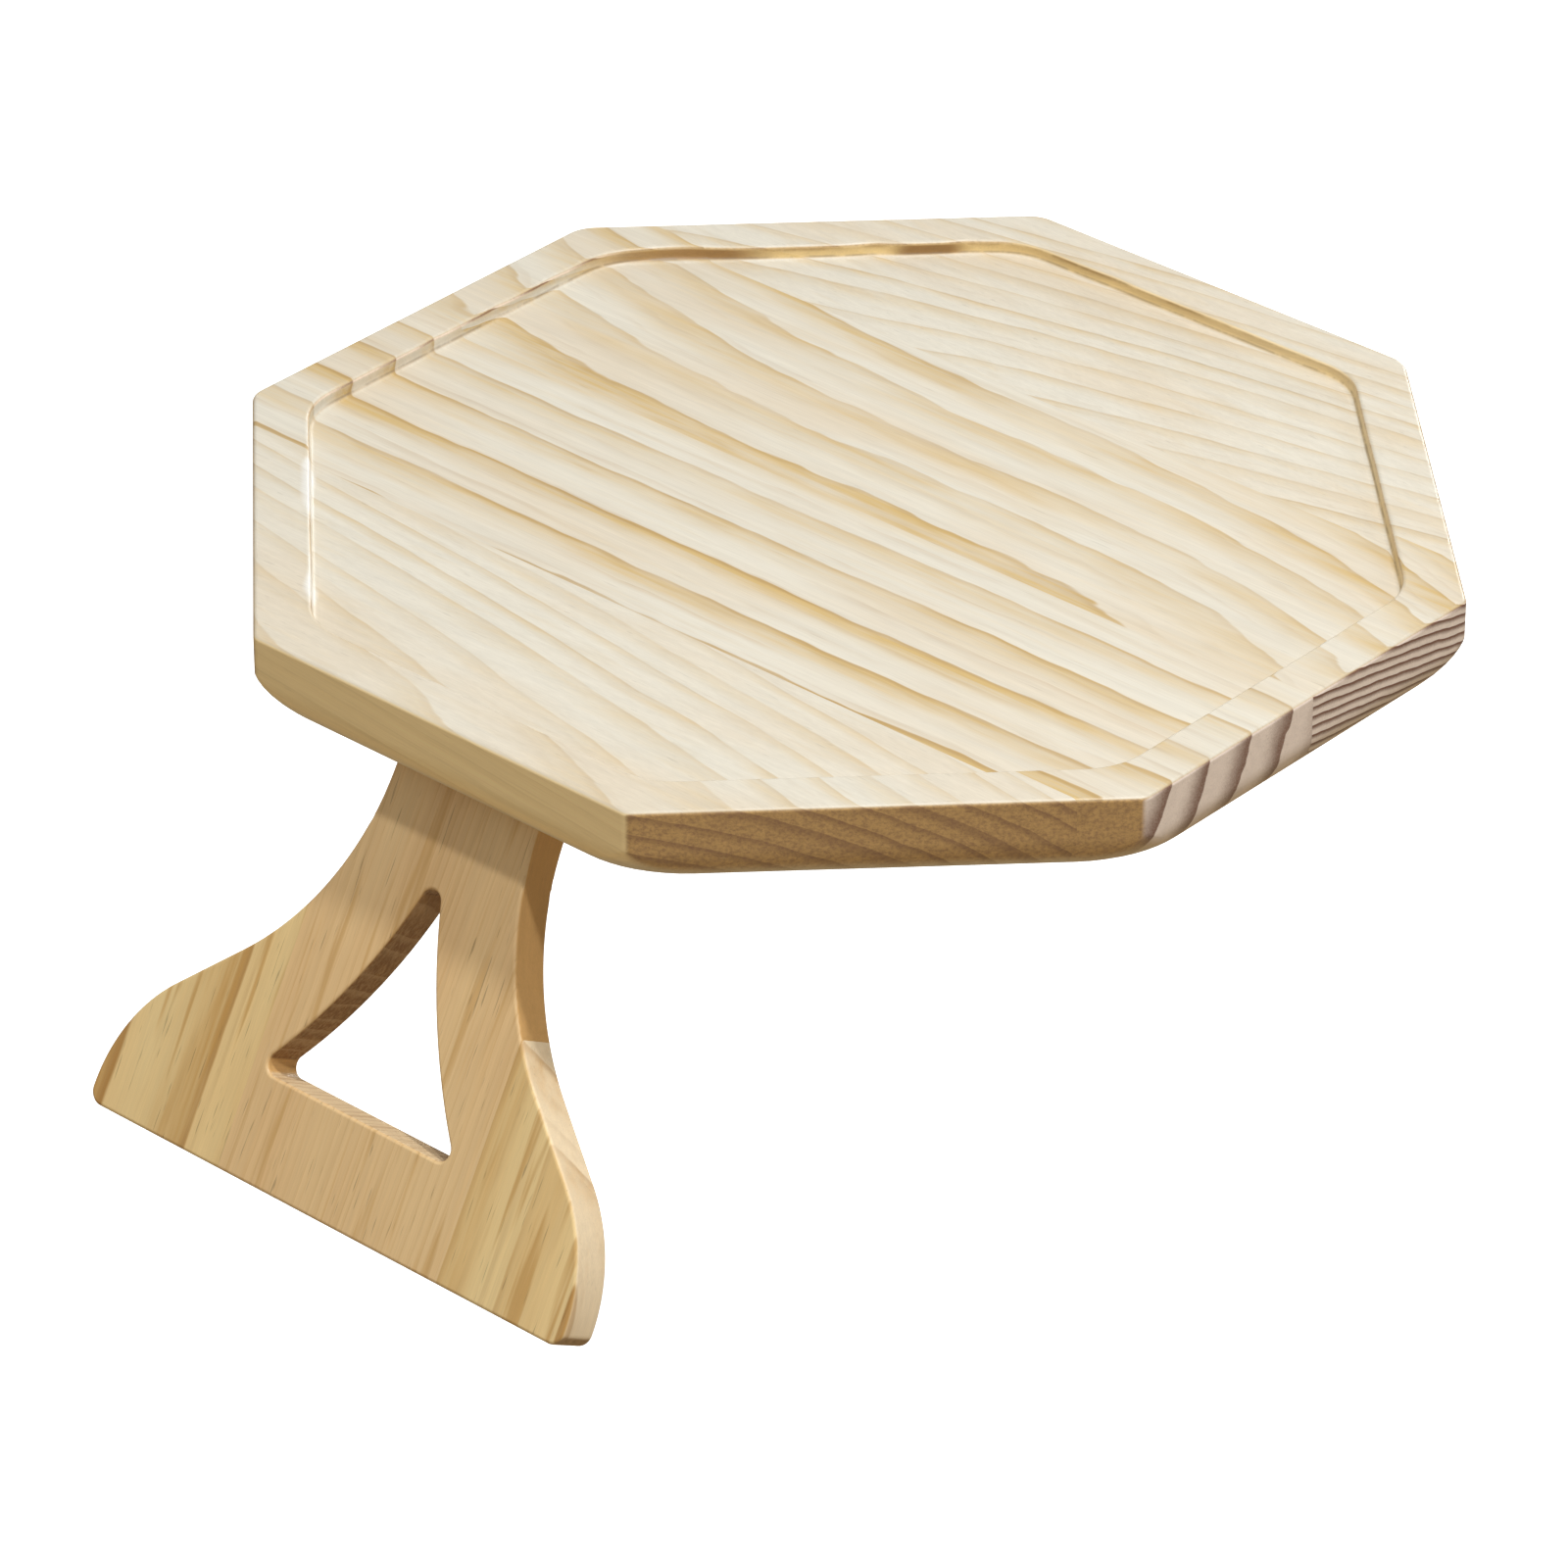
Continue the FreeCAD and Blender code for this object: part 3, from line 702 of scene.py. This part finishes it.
def smoothed(mesh, angle=math.radians(28.0)):
    """Shades a mesh smooth apart from its sharp edges, with flat faces kept flat."""
    mesh.shade_smooth()
    mesh.set_sharp_from_angle(angle=angle)
    return applied(mesh, "WEIGHTED_NORMAL", keep_sharp=True, weight=100)


def merged_copy(node):
    """A copy of a CAD node's mesh with its loose triangles joined."""
    mesh = frame["nodes"][node].data.copy()
    joined = bmesh.new()
    joined.from_mesh(mesh)
    bmesh.ops.remove_doubles(joined, verts=joined.verts, dist=MERGE_DISTANCE)
    joined.to_mesh(mesh)
    joined.free()
    return mesh


# Tray top

CORNER_STEPS = 8
SIDE_STEPS = 44
ROUND_STEPS = 5
EIGHTH = math.pi / 8

# How much softer some top corners are, by number from the +X side
FAR_CORNERS = {1: 0.006, 2: 0.006, 3: 0.006, 4: 0.003}

# Heights of two rings on the upright sides, where the turned corners begin to show
RELIEF_HEIGHTS = (0.0115, 0.0108)

# Where the grain is torn out of the recess wall: degrees round it, width in degrees and share of depth
CHIPS = ((100.0, 5.0, 0.5), (118.0, 3.5, 0.7), (128.0, 4.0, 0.9), (150.0, 9.0, 2.0), (165.0, 3.0, 0.4),
         (174.0, 2.5, 0.4), (184.0, 2.5, 0.4))
STRAYS_IN_A_METRE = 40.0


def octagon_ring(apothem, corner, z, softer=None):
    """Points round an octagon with rounded corners, some softer than the rest, as many on every ring."""
    rounded = []
    for k in range(8):
        radius = corner + (softer or {}).get(k, 0.0)
        toward = EIGHTH + 2 * EIGHTH * k
        reach = (apothem - radius) / math.cos(EIGHTH)
        turns = np.linspace(toward - EIGHTH, toward + EIGHTH, CORNER_STEPS + 1)
        centre = np.array([math.cos(toward), math.sin(toward)]) * reach
        rounded.append(centre + radius * np.stack([np.cos(turns), np.sin(turns)], 1))
    points = []
    for k in range(8):
        start, end = rounded[k][-1], rounded[(k + 1) % 8][0]
        shares = np.linspace(0.0, 1.0, SIDE_STEPS + 1)[1:-1, None]
        points += [rounded[k], start + (end - start) * shares]
    flat = np.concatenate(points)
    return np.column_stack([flat, np.full(len(flat), z)])


def quarter(radius, steps=ROUND_STEPS):
    """A quarter round in steps: what is left to go on its first side, and how far it is along the other."""
    turns = [math.pi / 2 * k / steps for k in range(steps + 1)]
    return [(radius * (1 - math.sin(turn)), radius * (1 - math.cos(turn))) for turn in turns]


def tray_profile(sizes):
    """The tray's section from the recess floor over the rim to the underside: apothem, corner, height."""
    half = sizes.across_flats / 2
    top = sizes.thickness
    floor = top - sizes.recess_depth
    wall = half - sizes.rim_width
    inner = sizes.recess_round
    section = [(wall - left, inner - left, floor + rise) for left, rise in quarter(sizes.floor_round)]
    low = floor + sizes.floor_round
    section += [(wall, inner, low + (top - sizes.edge_round - low) * share) for share in (0.5, 1.0)]
    edge = quarter(sizes.edge_round)
    section += [(wall + out, inner + out, top - left) for left, out in edge[1:]]
    section += [(half - left, sizes.corner_round - left, top - drop) for left, drop in edge]
    bottom = [(half, z) for z in RELIEF_HEIGHTS]
    bottom += [(half - inset, z) for z, inset in quarter(sizes.bottom_round, 2 * ROUND_STEPS)]
    return section + [(apothem, lower_corner(sizes, apothem, z), z) for apothem, z in bottom]


def lower_corner(sizes, apothem, z):
    """The corner radius at a height, where a turned bowl shape takes the corners off the lower edge."""
    point = 1 / math.cos(EIGHTH)
    foot = (sizes.across_flats / 2 - sizes.bottom_round) * point - sizes.corner_relief
    rise = sizes.relief_round - min(z, sizes.relief_round)
    turned = foot + math.sqrt(sizes.relief_round ** 2 - rise ** 2)
    return max(sizes.corner_round, (apothem * point - turned) / (point - 1))


def worn_wall(points, sizes, share):
    """Lets a ring of the routed wall stray a little, with the grain torn out of it in a few places."""
    turns = np.degrees(np.arctan2(points[:, 1], points[:, 0])) % 360.0
    outward = points[:, :2] / np.linalg.norm(points[:, :2], axis=1)[:, None]
    places = [Vector((STRAYS_IN_A_METRE * x, STRAYS_IN_A_METRE * y, 0.0)) for x, y in points[:, :2]]
    shift = sizes.wall_waver * np.array([noise.noise(place) for place in places])
    for turn, width, torn in CHIPS:
        shift += sizes.chip_depth * torn * np.exp(-((turns - turn) / (0.5 * width)) ** 2)
    points[:, :2] += outward * (share * shift)[:, None]
    return points


def tray_shell(sizes):
    """The whole tray top as one closed mesh of rings, before it is sawn into its staves."""
    section = tray_profile(sizes)

    # The floor's edge, its round and two rings of the wall come first, then the round onto the rim
    wall_top = 1 + ROUND_STEPS + 2
    rim_inside = wall_top + ROUND_STEPS
    rings = [octagon_ring(*entry) for entry in section[:rim_inside]]
    rings += [octagon_ring(*entry, FAR_CORNERS) for entry in section[rim_inside:]]
    for k in range(rim_inside):
        rings[k] = worn_wall(rings[k], sizes, min(1.0, k / wall_top))
    shell = bmesh.new()
    loops = [[shell.verts.new(point) for point in ring] for ring in rings]
    bridge(shell, loops)
    shell.faces.new(loops[0])
    shell.faces.new(reversed(loops[-1]))
    bmesh.ops.recalc_face_normals(shell, faces=shell.faces)
    return shell


def sawn(shell, near, far):
    """The stave of a closed mesh between two planes across Y, with its sawn faces closed."""
    stave = shell.copy()
    for y, outer in ((near, False), (far, True)):
        if y is None:
            continue
        geometry = stave.verts[:] + stave.edges[:] + stave.faces[:]
        cut = bmesh.ops.bisect_plane(
            stave, geom=geometry, dist=SAW_TOLERANCE, plane_co=(0.0, y, 0.0), plane_no=(0.0, 1.0, 0.0),
            clear_outer=outer, clear_inner=not outer,
        )
        rim = [e for e in cut["geom_cut"] if isinstance(e, bmesh.types.BMEdge)]
        bmesh.ops.triangle_fill(stave, edges=rim, use_beauty=True)
    bmesh.ops.recalc_face_normals(stave, faces=stave.faces)
    return mesh_from("stave", stave)


# Hinges

def fold_swing(sizes):
    """How far a folded leg turns past lying flat, until its foot meets the underside."""
    return math.asin((2 * KNUCKLE_RADIUS - sizes.stop_clearance) / sizes.leg_reach)


def leg_swing(leg, sizes):
    """A leg's turn about its pin at rest, from lying flat."""
    return -(math.pi / 2 + sizes.leg_splay) if leg == "front" else fold_swing(sizes)


def hinge_matrix(leg):
    """The frame of a leg's hinge: X along the pin, the underside above, the tray's middle towards +Y."""
    place = Matrix.Translation(JOINTS[leg + "_leg_hinge"]["pos_m"])
    return place if leg == "front" else place @ Matrix.Rotation(math.pi, 4, "Z")


def swung_matrix(leg, sizes):
    """The hinge's frame turned with its leg at rest."""
    return hinge_matrix(leg) @ Matrix.Rotation(leg_swing(leg, sizes), 4, "X")


def leg_matrix(leg, sizes):
    """The frame of a leg board: X runs down its grain, Y across it and Z out of its outer face."""
    lying = Matrix(((0.0, 1.0, 0.0), (1.0, 0.0, 0.0), (0.0, 0.0, -1.0))).to_4x4()
    return swung_matrix(leg, sizes) @ lying


def spring_bay(sizes):
    """Half the width of the bay between the knuckles that holds the coil."""
    longest = sizes.coil_pitch * (sizes.coil_turns + (math.pi + fold_swing(sizes)) / (2 * math.pi))
    return longest / 2 + sizes.wire_radius + sizes.bay_clearance


def pocket_cutter(leg, sizes):
    """A box that cuts the shallow pocket under the tray for a hinge's coil and the spring's arm."""
    bay = spring_bay(sizes)
    reach = KNUCKLE_RADIUS + 2 * sizes.wire_radius + sizes.spring_clearance
    low = Vector((-bay, -reach, 0.0))
    high = Vector((bay, sizes.arm_length + sizes.spring_clearance, reach))
    made = bmesh.new()
    place = Matrix.Translation((low + high) / 2) @ Matrix.Diagonal((*(high - low), 1.0))
    bmesh.ops.create_cube(made, size=1.0, matrix=place)
    mesh = mesh_from("pocket", made)
    mesh.transform(hinge_matrix(leg))
    return placed("cutter", mesh)


def new_tree(name, inputs):
    """A node tree that takes geometry, named inputs and a finish. Also its graph and what it is given."""
    tree = bpy.data.node_groups.new(name, "GeometryNodeTree")
    for title, kind in (("Geometry", "Geometry"), *inputs, ("Finish", "Material")):
        tree.interface.new_socket(title, in_out="INPUT", socket_type="NodeSocket" + kind)
    tree.interface.new_socket("Geometry", in_out="OUTPUT", socket_type="NodeSocketGeometry")
    graph = Graph(tree)
    return tree, graph, graph.node("NodeGroupInput").outputs


def end_tree(graph, geometry, finish):
    """Ends a node tree with real geometry in its finish."""
    real = graph.node("GeometryNodeRealizeInstances", {"Geometry": geometry}).outputs["Geometry"]
    done = graph.node("GeometryNodeSetMaterial", {"Geometry": real, "Material": finish}).outputs["Geometry"]
    graph.node("NodeGroupOutput", {"Geometry": done})


def sweep_tree():
    """A node tree that sweeps round wire along a line."""
    tree, graph, given = new_tree("wire_along_line", (("Wire Radius", "Float"), ("Sides", "Int")))
    line = graph.node("GeometryNodeMeshToCurve", {"Mesh": given["Geometry"]}).outputs["Curve"]
    ring = graph.node("GeometryNodeCurvePrimitiveCircle", {
        "Radius": given["Wire Radius"], "Resolution": given["Sides"],
    }).outputs["Curve"]
    wire = graph.node("GeometryNodeCurveToMesh", {"Curve": line, "Profile Curve": ring, "Fill Caps": True})
    end_tree(graph, wire.outputs["Mesh"], given["Finish"])
    return tree


def scatter_tree():
    """A node tree that sets a copy of one screw at each point."""
    tree, graph, given = new_tree("screws_at_points", (("Screw", "Object"), ("Turn", "Rotation")))
    screw = graph.node("GeometryNodeObjectInfo", {"Object": given["Screw"]}).outputs["Geometry"]
    screws = graph.node("GeometryNodeInstanceOnPoints", {
        "Points": given["Geometry"], "Instance": screw, "Rotation": given["Turn"],
    })
    end_tree(graph, screws.outputs["Instances"], given["Finish"])
    return tree


def node_mesh(tree, mesh, inputs):
    """The plain mesh that a node tree makes from a mesh and its named inputs."""
    items = [item for item in tree.interface.items_tree if item.in_out == "INPUT" and item.name in inputs]
    named = {item.identifier: inputs[item.name] for item in items}
    return applied(mesh, "NODES", named, node_group=tree)


COIL_POINTS = 40
WIRE_SIDES = 14


def spring_line(leg, sizes):
    """Points along a spring: the leg's arm, the coil and the tray's arm. Also the coil's width."""
    swing = leg_swing(leg, sizes)
    radius = KNUCKLE_RADIUS + sizes.wire_radius
    first = swing - math.pi / 2
    sweep = math.pi + swing + 2 * math.pi * sizes.coil_turns
    width = sizes.coil_pitch * sweep / (2 * math.pi)
    count = math.ceil(COIL_POINTS * sweep / (2 * math.pi))
    line = []
    for k in range(count + 1):
        turn = first - sweep * k / count
        line.append(Vector((width * (k / count - 0.5), radius * math.cos(turn), radius * math.sin(turn))))
    for turn, sign in ((first, -1.0), (first - sweep, 1.0)):
        heading = Vector((0.0, math.sin(turn), -math.cos(turn)))
        start = line[0] if sign < 0 else line[-1]
        arm = [start + heading * sign * sizes.arm_length * share for share in (0.5, 1.0)]
        line = arm[::-1] + line if sign < 0 else line + arm
    matrix = hinge_matrix(leg)
    return [matrix @ point for point in line], width


def line_mesh(points):
    """A mesh of one open line."""
    mesh = bpy.data.meshes.new("line")
    mesh.from_pydata(points, [(k, k + 1) for k in range(len(points) - 1)], [])
    return mesh


# Screws

THREAD_SIDES = 18
THREAD_STEPS = 6
CREST_SHARE = 0.3
HEAD_INSET = 0.0002
HEAD_EDGE = 0.0001

# The driver's recess, as shares of the head's radius and the leaf's thickness
CROSS_LENGTH = 2.1
CROSS_WIDTH = 0.28
CROSS_RISE = 0.16
CROSS_TAPER = 0.55


def screw_mesh(total, sizes):
    """A countersunk wood screw that points up, with a turned head, a cut thread and a point."""
    shank = sizes.shank_radius
    head = sizes.head_radius
    made = bmesh.new()
    loops = []
    for radius, z in ((head - HEAD_INSET, 0.0), (head, HEAD_EDGE), (shank, sizes.leaf_thickness)):
        loops.append([made.verts.new(turned_point(radius, k, z)) for k in range(THREAD_SIDES)])
    low = sizes.leaf_thickness + 0.5 * sizes.thread_pitch
    steps = math.ceil((total - low) / sizes.thread_pitch * THREAD_STEPS)
    for z in [low + (total - low) * k / steps for k in range(steps)]:
        taper = min(1.0, (total - z) / sizes.point_length)
        loop = []
        for k in range(THREAD_SIDES):
            part = (z / sizes.thread_pitch + k / THREAD_SIDES) % 1.0
            crest = max(0.0, 1.0 - abs(part - 0.5) / CREST_SHARE)
            radius = (shank - sizes.thread_depth * (1.0 - crest)) * taper
            loop.append(made.verts.new(turned_point(radius, k, z)))
        loops.append(loop)
    bridge(made, loops)
    tip = made.verts.new((0.0, 0.0, total))
    for k in range(THREAD_SIDES):
        made.faces.new((loops[-1][k], loops[-1][(k + 1) % THREAD_SIDES], tip))
    made.faces.new(reversed(loops[0]))
    bmesh.ops.recalc_face_normals(made, faces=made.faces)
    return mesh_from("screw", made)


def turned_point(radius, k, z):
    """A point on a turned piece."""
    turn = 2 * math.pi * k / THREAD_SIDES
    return Vector((radius * math.cos(turn), radius * math.sin(turn), z))


def cross_cutter(sizes):
    """Two crossed wedges that cut the driver's recess."""
    made = bmesh.new()
    head = sizes.head_radius
    deep = sizes.leaf_thickness
    for turn in (0.0, math.pi / 2):
        size = Matrix.Diagonal((CROSS_LENGTH * head / 2, CROSS_WIDTH * head, deep, 1.0))
        place = Matrix.Rotation(turn, 4, "Z") @ Matrix.Translation((0.0, 0.0, CROSS_RISE * deep)) @ size
        cube = bmesh.ops.create_cube(made, size=1.0, matrix=place)
        for vert in cube["verts"]:
            if vert.co.z > 0.0:
                vert.co.x *= CROSS_TAPER
                vert.co.y *= CROSS_TAPER
    return placed("cross", mesh_from("cross", made))


def screw_object(total, sizes):
    """One screw with its cross recess, to be copied to each place."""
    cutter = cross_cutter(sizes)
    mesh = applied(screw_mesh(total, sizes), "BOOLEAN", object=cutter, solver="EXACT", use_self=True)
    bpy.data.objects.remove(cutter)
    return placed("screw", smoothed(mesh, math.radians(35.0)))


def screw_points(sizes):
    """The four screws of a leaf: along the pin, and away from it."""
    outer = sizes.leaf_length / 2 - sizes.outer_from_end
    inner = spring_bay(sizes) + sizes.inner_from_bay
    rows = ((outer, sizes.outer_from_pin), (inner, sizes.inner_from_pin))
    return [(side * x, y) for x, y in rows for side in (-1, 1)]


# Operators

class ARMTRAY_OT_tray(bpy.types.Operator):
    """Make the four glued staves of the tray top"""

    bl_idname = "armtray.tray"
    bl_label = "Tray Staves"

    def execute(self, context):
        scene = context.scene
        shell = tray_shell(scene.arm_tray_sizes)
        glue_lines = [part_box(node)[1].y for node in TRAY_STAVES[:-1]]
        edges = [None] + glue_lines + [None]
        wood = kind_of_wood(scene.arm_tray_colours, TRAY_COLOURS, 0.12, 0.10, True)
        pockets = {TRAY_STAVES[0]: "front", TRAY_STAVES[-1]: "rear"}
        for node, board, near, far in zip(TRAY_STAVES, TRAY_BOARDS, edges, edges[1:]):
            mesh = sawn(shell, near, far)
            if node in pockets:
                cutter = pocket_cutter(pockets[node], scene.arm_tray_hinges)
                mesh = applied(mesh, "BOOLEAN", object=cutter, solver="EXACT")
                bpy.data.objects.remove(cutter)
            material = pine("pine_" + node, board, Matrix.Identity(4), wood, routed=True)
            new_piece(node + "_wood", smoothed(mesh), "tray", [node], material)
        shell.free()
        return {"FINISHED"}


class ARMTRAY_OT_legs(bpy.types.Operator):
    """Make the three glued staves of each leg"""

    bl_idname = "armtray.legs"
    bl_label = "Leg Staves"

    def execute(self, context):
        colours = context.scene.arm_tray_colours
        # Last argument false: on the legs the slant mask is painted shade on the faces that look down the
        # leg
        outer = kind_of_wood(colours, OUTER_COLOURS, 0.38, 0.75, False)
        middle = kind_of_wood(colours, MIDDLE_COLOURS, 0.38, 0.55, False)
        for leg in LEGS:
            matrix = leg_matrix(leg, context.scene.arm_tray_hinges)
            for side in LEG_SIDES:
                node = leg + "_leg_" + side + "_stave"
                wood = middle if side == "middle" else outer
                material = pine("pine_" + node, LEG_BOARDS[side], matrix, wood)
                mesh = smoothed(merged_copy(node))
                new_piece(node + "_wood", mesh, leg + "_leg", [node], material)
        return {"FINISHED"}


class ARMTRAY_OT_hinges(bpy.types.Operator):
    """Make the plated leaves and pins of both hinges"""

    bl_idname = "armtray.hinges"
    bl_label = "Hinge Leaves and Pins"

    def execute(self, context):
        zinc = tuple(context.scene.arm_tray_colours.zinc)
        leaf = plated_steel("zinc_leaf", zinc, 0.36, (0.06, 1.0, 1.0))
        pin = plated_steel("zinc_pin", zinc, 0.28, (1.0, 0.1, 0.1))
        for leg in LEGS:
            bodies = {"_hinge_tray_leaf": "tray", "_hinge_leg_leaf": leg + "_leg", "_hinge_pin": "tray"}
            for piece, body in bodies.items():
                node = leg + piece
                material = pin if piece == "_hinge_pin" else leaf
                mesh = smoothed(merged_copy(node))
                new_piece(node + "_steel", mesh, body, [node], material)
        return {"FINISHED"}


class ARMTRAY_OT_springs(bpy.types.Operator):
    """Wind the torsion spring of each hinge"""

    bl_idname = "armtray.springs"
    bl_label = "Springs"

    def execute(self, context):
        sizes = context.scene.arm_tray_hinges
        wire = tuple(context.scene.arm_tray_colours.wire)
        finish = plated_steel("spring_wire", wire, 0.30, (1.0, 0.2, 0.2))
        tree = sweep_tree()
        inputs = {"Wire Radius": sizes.wire_radius, "Sides": WIRE_SIDES, "Finish": finish}
        for leg in LEGS:
            points, width = spring_line(leg, sizes)
            mesh = smoothed(node_mesh(tree, line_mesh(points), inputs), math.radians(50.0))
            node = leg + "_hinge_spring"
            piece = new_piece(node + "_wire", mesh, None, [node], finish)
            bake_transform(piece)
        return {"FINISHED"}


class ARMTRAY_OT_screws(bpy.types.Operator):
    """Set the countersunk screws of every leaf"""

    bl_idname = "armtray.screws"
    bl_label = "Screws"

    def execute(self, context):
        sizes = context.scene.arm_tray_hinges
        finish = plated_steel("screw_zinc", tuple(context.scene.arm_tray_colours.zinc), 0.32)
        tree = scatter_tree()
        level = KNUCKLE_RADIUS - sizes.leaf_thickness
        for total, kind in ((sizes.tray_screw, "tray"), (sizes.leg_screw, "leg")):
            screw = screw_object(total, sizes)
            for leg in LEGS:
                matrix = hinge_matrix(leg)
                if kind == "leg":
                    matrix = swung_matrix(leg, sizes) @ Matrix.Rotation(math.pi, 4, "Y")
                points = [matrix @ Vector((x, y, level)) for x, y in screw_points(sizes)]
                cloud = bpy.data.meshes.new("points")
                cloud.from_pydata(points, [], [])
                inputs = {"Screw": screw, "Turn": matrix.to_euler(), "Finish": finish}
                node = leg + "_" + kind + "_screws"
                body = "tray" if kind == "tray" else leg + "_leg"
                mesh = node_mesh(tree, cloud, inputs)
                new_piece(node + "_steel", mesh, body, [node], finish)
            bpy.data.objects.remove(screw)
        return {"FINISHED"}


# Stage: each lamp's name, place, size and the setting with its power, then how sky and floor look
LAMPS = (
    ("front_light", (0.75, -0.37, 1.7), 0.10, "front_power"),
    ("back_light", (0.55, 0.12, 1.7), 0.10, "back_power"),
    ("window", (-0.57, 2.07, 0.48), 0.60, "window_power"),
)
LAMP_COLOUR = (1.0, 0.985, 0.955)
HIGH_SKY = (1.0, 0.985, 0.96, 1.0)
LOW_SKY = (1.0, 0.77, 0.42, 1.0)
BRIGHTEST_SKY = (0.0, -0.86, 0.50)
SKY_GRADIENT = 0.75
SEEN_SKY = 0.98
FLOOR_BOUNCE = (0.44, 0.34, 0.21, 1.0)
SEEN_FLOOR = (0.93, 0.93, 0.93, 1.0)
FLOOR_LIFT = 0.8


class ARMTRAY_OT_stage(bpy.types.Operator):
    """Set the pale floor, the soft light and the camera"""

    bl_idname = "armtray.stage"
    bl_label = "Stage"

    def execute(self, context):
        scene = context.scene
        stage = scene.arm_tray_stage
        self.floor(stage)
        self.sky(scene, stage)
        for name, place, size, power in LAMPS:
            self.lamp(name, place, size, getattr(stage, power))
        self.camera(scene, stage)
        scene.view_settings.view_transform = "Standard"
        return {"FINISHED"}

    def floor(self, stage):
        """A wide pale floor, clear from beneath. Its bounced light is dimmer than it looks."""
        made = bmesh.new()
        height = CAD_BOX[0][2] - stage.floor_drop
        bmesh.ops.create_grid(made, x_segments=1, y_segments=1, size=stage.floor_size / 2,
                              matrix=Matrix.Translation((0.0, 0.0, height)))
        floor = placed("floor", mesh_from("floor", made))
        material, graph = new_material("pale_floor")
        seen = graph.node("ShaderNodeLightPath").outputs["Is Camera Ray"]
        shader = graph.node("ShaderNodeBsdfPrincipled", {
            "Base Color": graph.mix(seen, FLOOR_BOUNCE, SEEN_FLOOR), "Roughness": 0.9,
            "Emission Color": (1.0, 1.0, 1.0, 1.0), "Emission Strength": graph.times(seen, FLOOR_LIFT),
        })
        beneath = graph.node("ShaderNodeNewGeometry").outputs["Backfacing"]
        clear = graph.node("ShaderNodeBsdfTransparent")
        both = graph.node("ShaderNodeMixShader", {
            0: beneath, 1: shader.outputs["BSDF"], 2: clear.outputs["BSDF"],
        })
        graph.node("ShaderNodeOutputMaterial", {"Surface": both.outputs["Shader"]})
        floor.data.materials.append(material)

    def sky(self, scene, stage):
        """Soft light all round, more of it from the front and warmer from below."""
        world = bpy.data.worlds.new("soft_room")
        scene.world = world
        world.use_nodes = True
        graph = Graph(world.node_tree)
        seen = graph.node("ShaderNodeLightPath").outputs["Is Camera Ray"]
        toward = graph.node("ShaderNodeTexCoord").outputs["Generated"]
        ahead = graph.dot(toward, BRIGHTEST_SKY)
        sky = graph.scaled(ahead, SKY_GRADIENT * stage.sky_strength, stage.sky_strength)
        strength = graph.scaled(seen, graph.math("SUBTRACT", SEEN_SKY, sky), sky)
        warmth = graph.fall(graph.axis(toward, "Z"), -0.2, 0.55)
        warmth = graph.times(warmth, graph.math("SUBTRACT", 1.0, seen))
        colour = graph.mix(warmth, HIGH_SKY, LOW_SKY)
        back = graph.node("ShaderNodeBackground", {"Color": colour, "Strength": strength})
        graph.node("ShaderNodeOutputWorld", {"Surface": back.outputs["Background"]})

    def lamp(self, name, place, size, power):
        """A round lamp that points at the part and isn't seen itself."""
        light = bpy.data.lights.new(name, "AREA")
        light.shape = "DISK"
        light.size = size
        light.energy = power
        light.color = LAMP_COLOUR
        lamp = placed(name, light)
        lamp.location = place
        lamp.rotation_euler = (-Vector(place)).to_track_quat("-Z", "Y").to_euler()
        lamp.visible_camera = False

    def camera(self, scene, stage):
        """A long lens at the angle of the photograph."""
        lens = bpy.data.cameras.new("camera")
        lens.lens = stage.lens
        camera = placed("camera", lens)
        camera.location = stage.camera_place
        gaze = Vector(stage.camera_aim) - Vector(stage.camera_place)
        camera.rotation_euler = gaze.to_track_quat("-Z", "Y").to_euler()
        scene.camera = camera


# Panel and registration

class ARMTRAY_PT_panel(bpy.types.Panel):
    """Lists the operators that build the tray"""

    bl_idname = "ARMTRAY_PT_panel"
    bl_label = "Arm Tray"
    bl_space_type = "VIEW_3D"
    bl_region_type = "UI"
    bl_category = "Arm Tray"

    def draw(self, context):
        for operator in OPERATORS:
            self.layout.operator(operator.bl_idname)


SETTINGS = {
    "arm_tray_sizes": TraySizes,
    "arm_tray_hinges": HingeSizes,
    "arm_tray_colours": FinishColours,
    "arm_tray_stage": StageSettings,
}
OPERATORS = (
    ARMTRAY_OT_tray, ARMTRAY_OT_legs, ARMTRAY_OT_hinges, ARMTRAY_OT_springs, ARMTRAY_OT_screws,
    ARMTRAY_OT_stage,
)


def register():
    """Add the settings, operators and panel."""
    for name, group in SETTINGS.items():
        bpy.utils.register_class(group)
        setattr(bpy.types.Scene, name, PointerProperty(type=group))
    for item in (*OPERATORS, ARMTRAY_PT_panel):
        bpy.utils.register_class(item)


def unregister():
    """Take the settings, operators and panel away again."""
    for item in reversed((*OPERATORS, ARMTRAY_PT_panel)):
        bpy.utils.unregister_class(item)
    for name, group in SETTINGS.items():
        delattr(bpy.types.Scene, name)
        bpy.utils.unregister_class(group)


def main():
    """Build every piece."""
    register()
    bpy.ops.armtray.tray()
    bpy.ops.armtray.legs()
    bpy.ops.armtray.hinges()
    bpy.ops.armtray.springs()
    bpy.ops.armtray.screws()
    bpy.ops.armtray.stage()


if __name__ == "__main__":
    main()
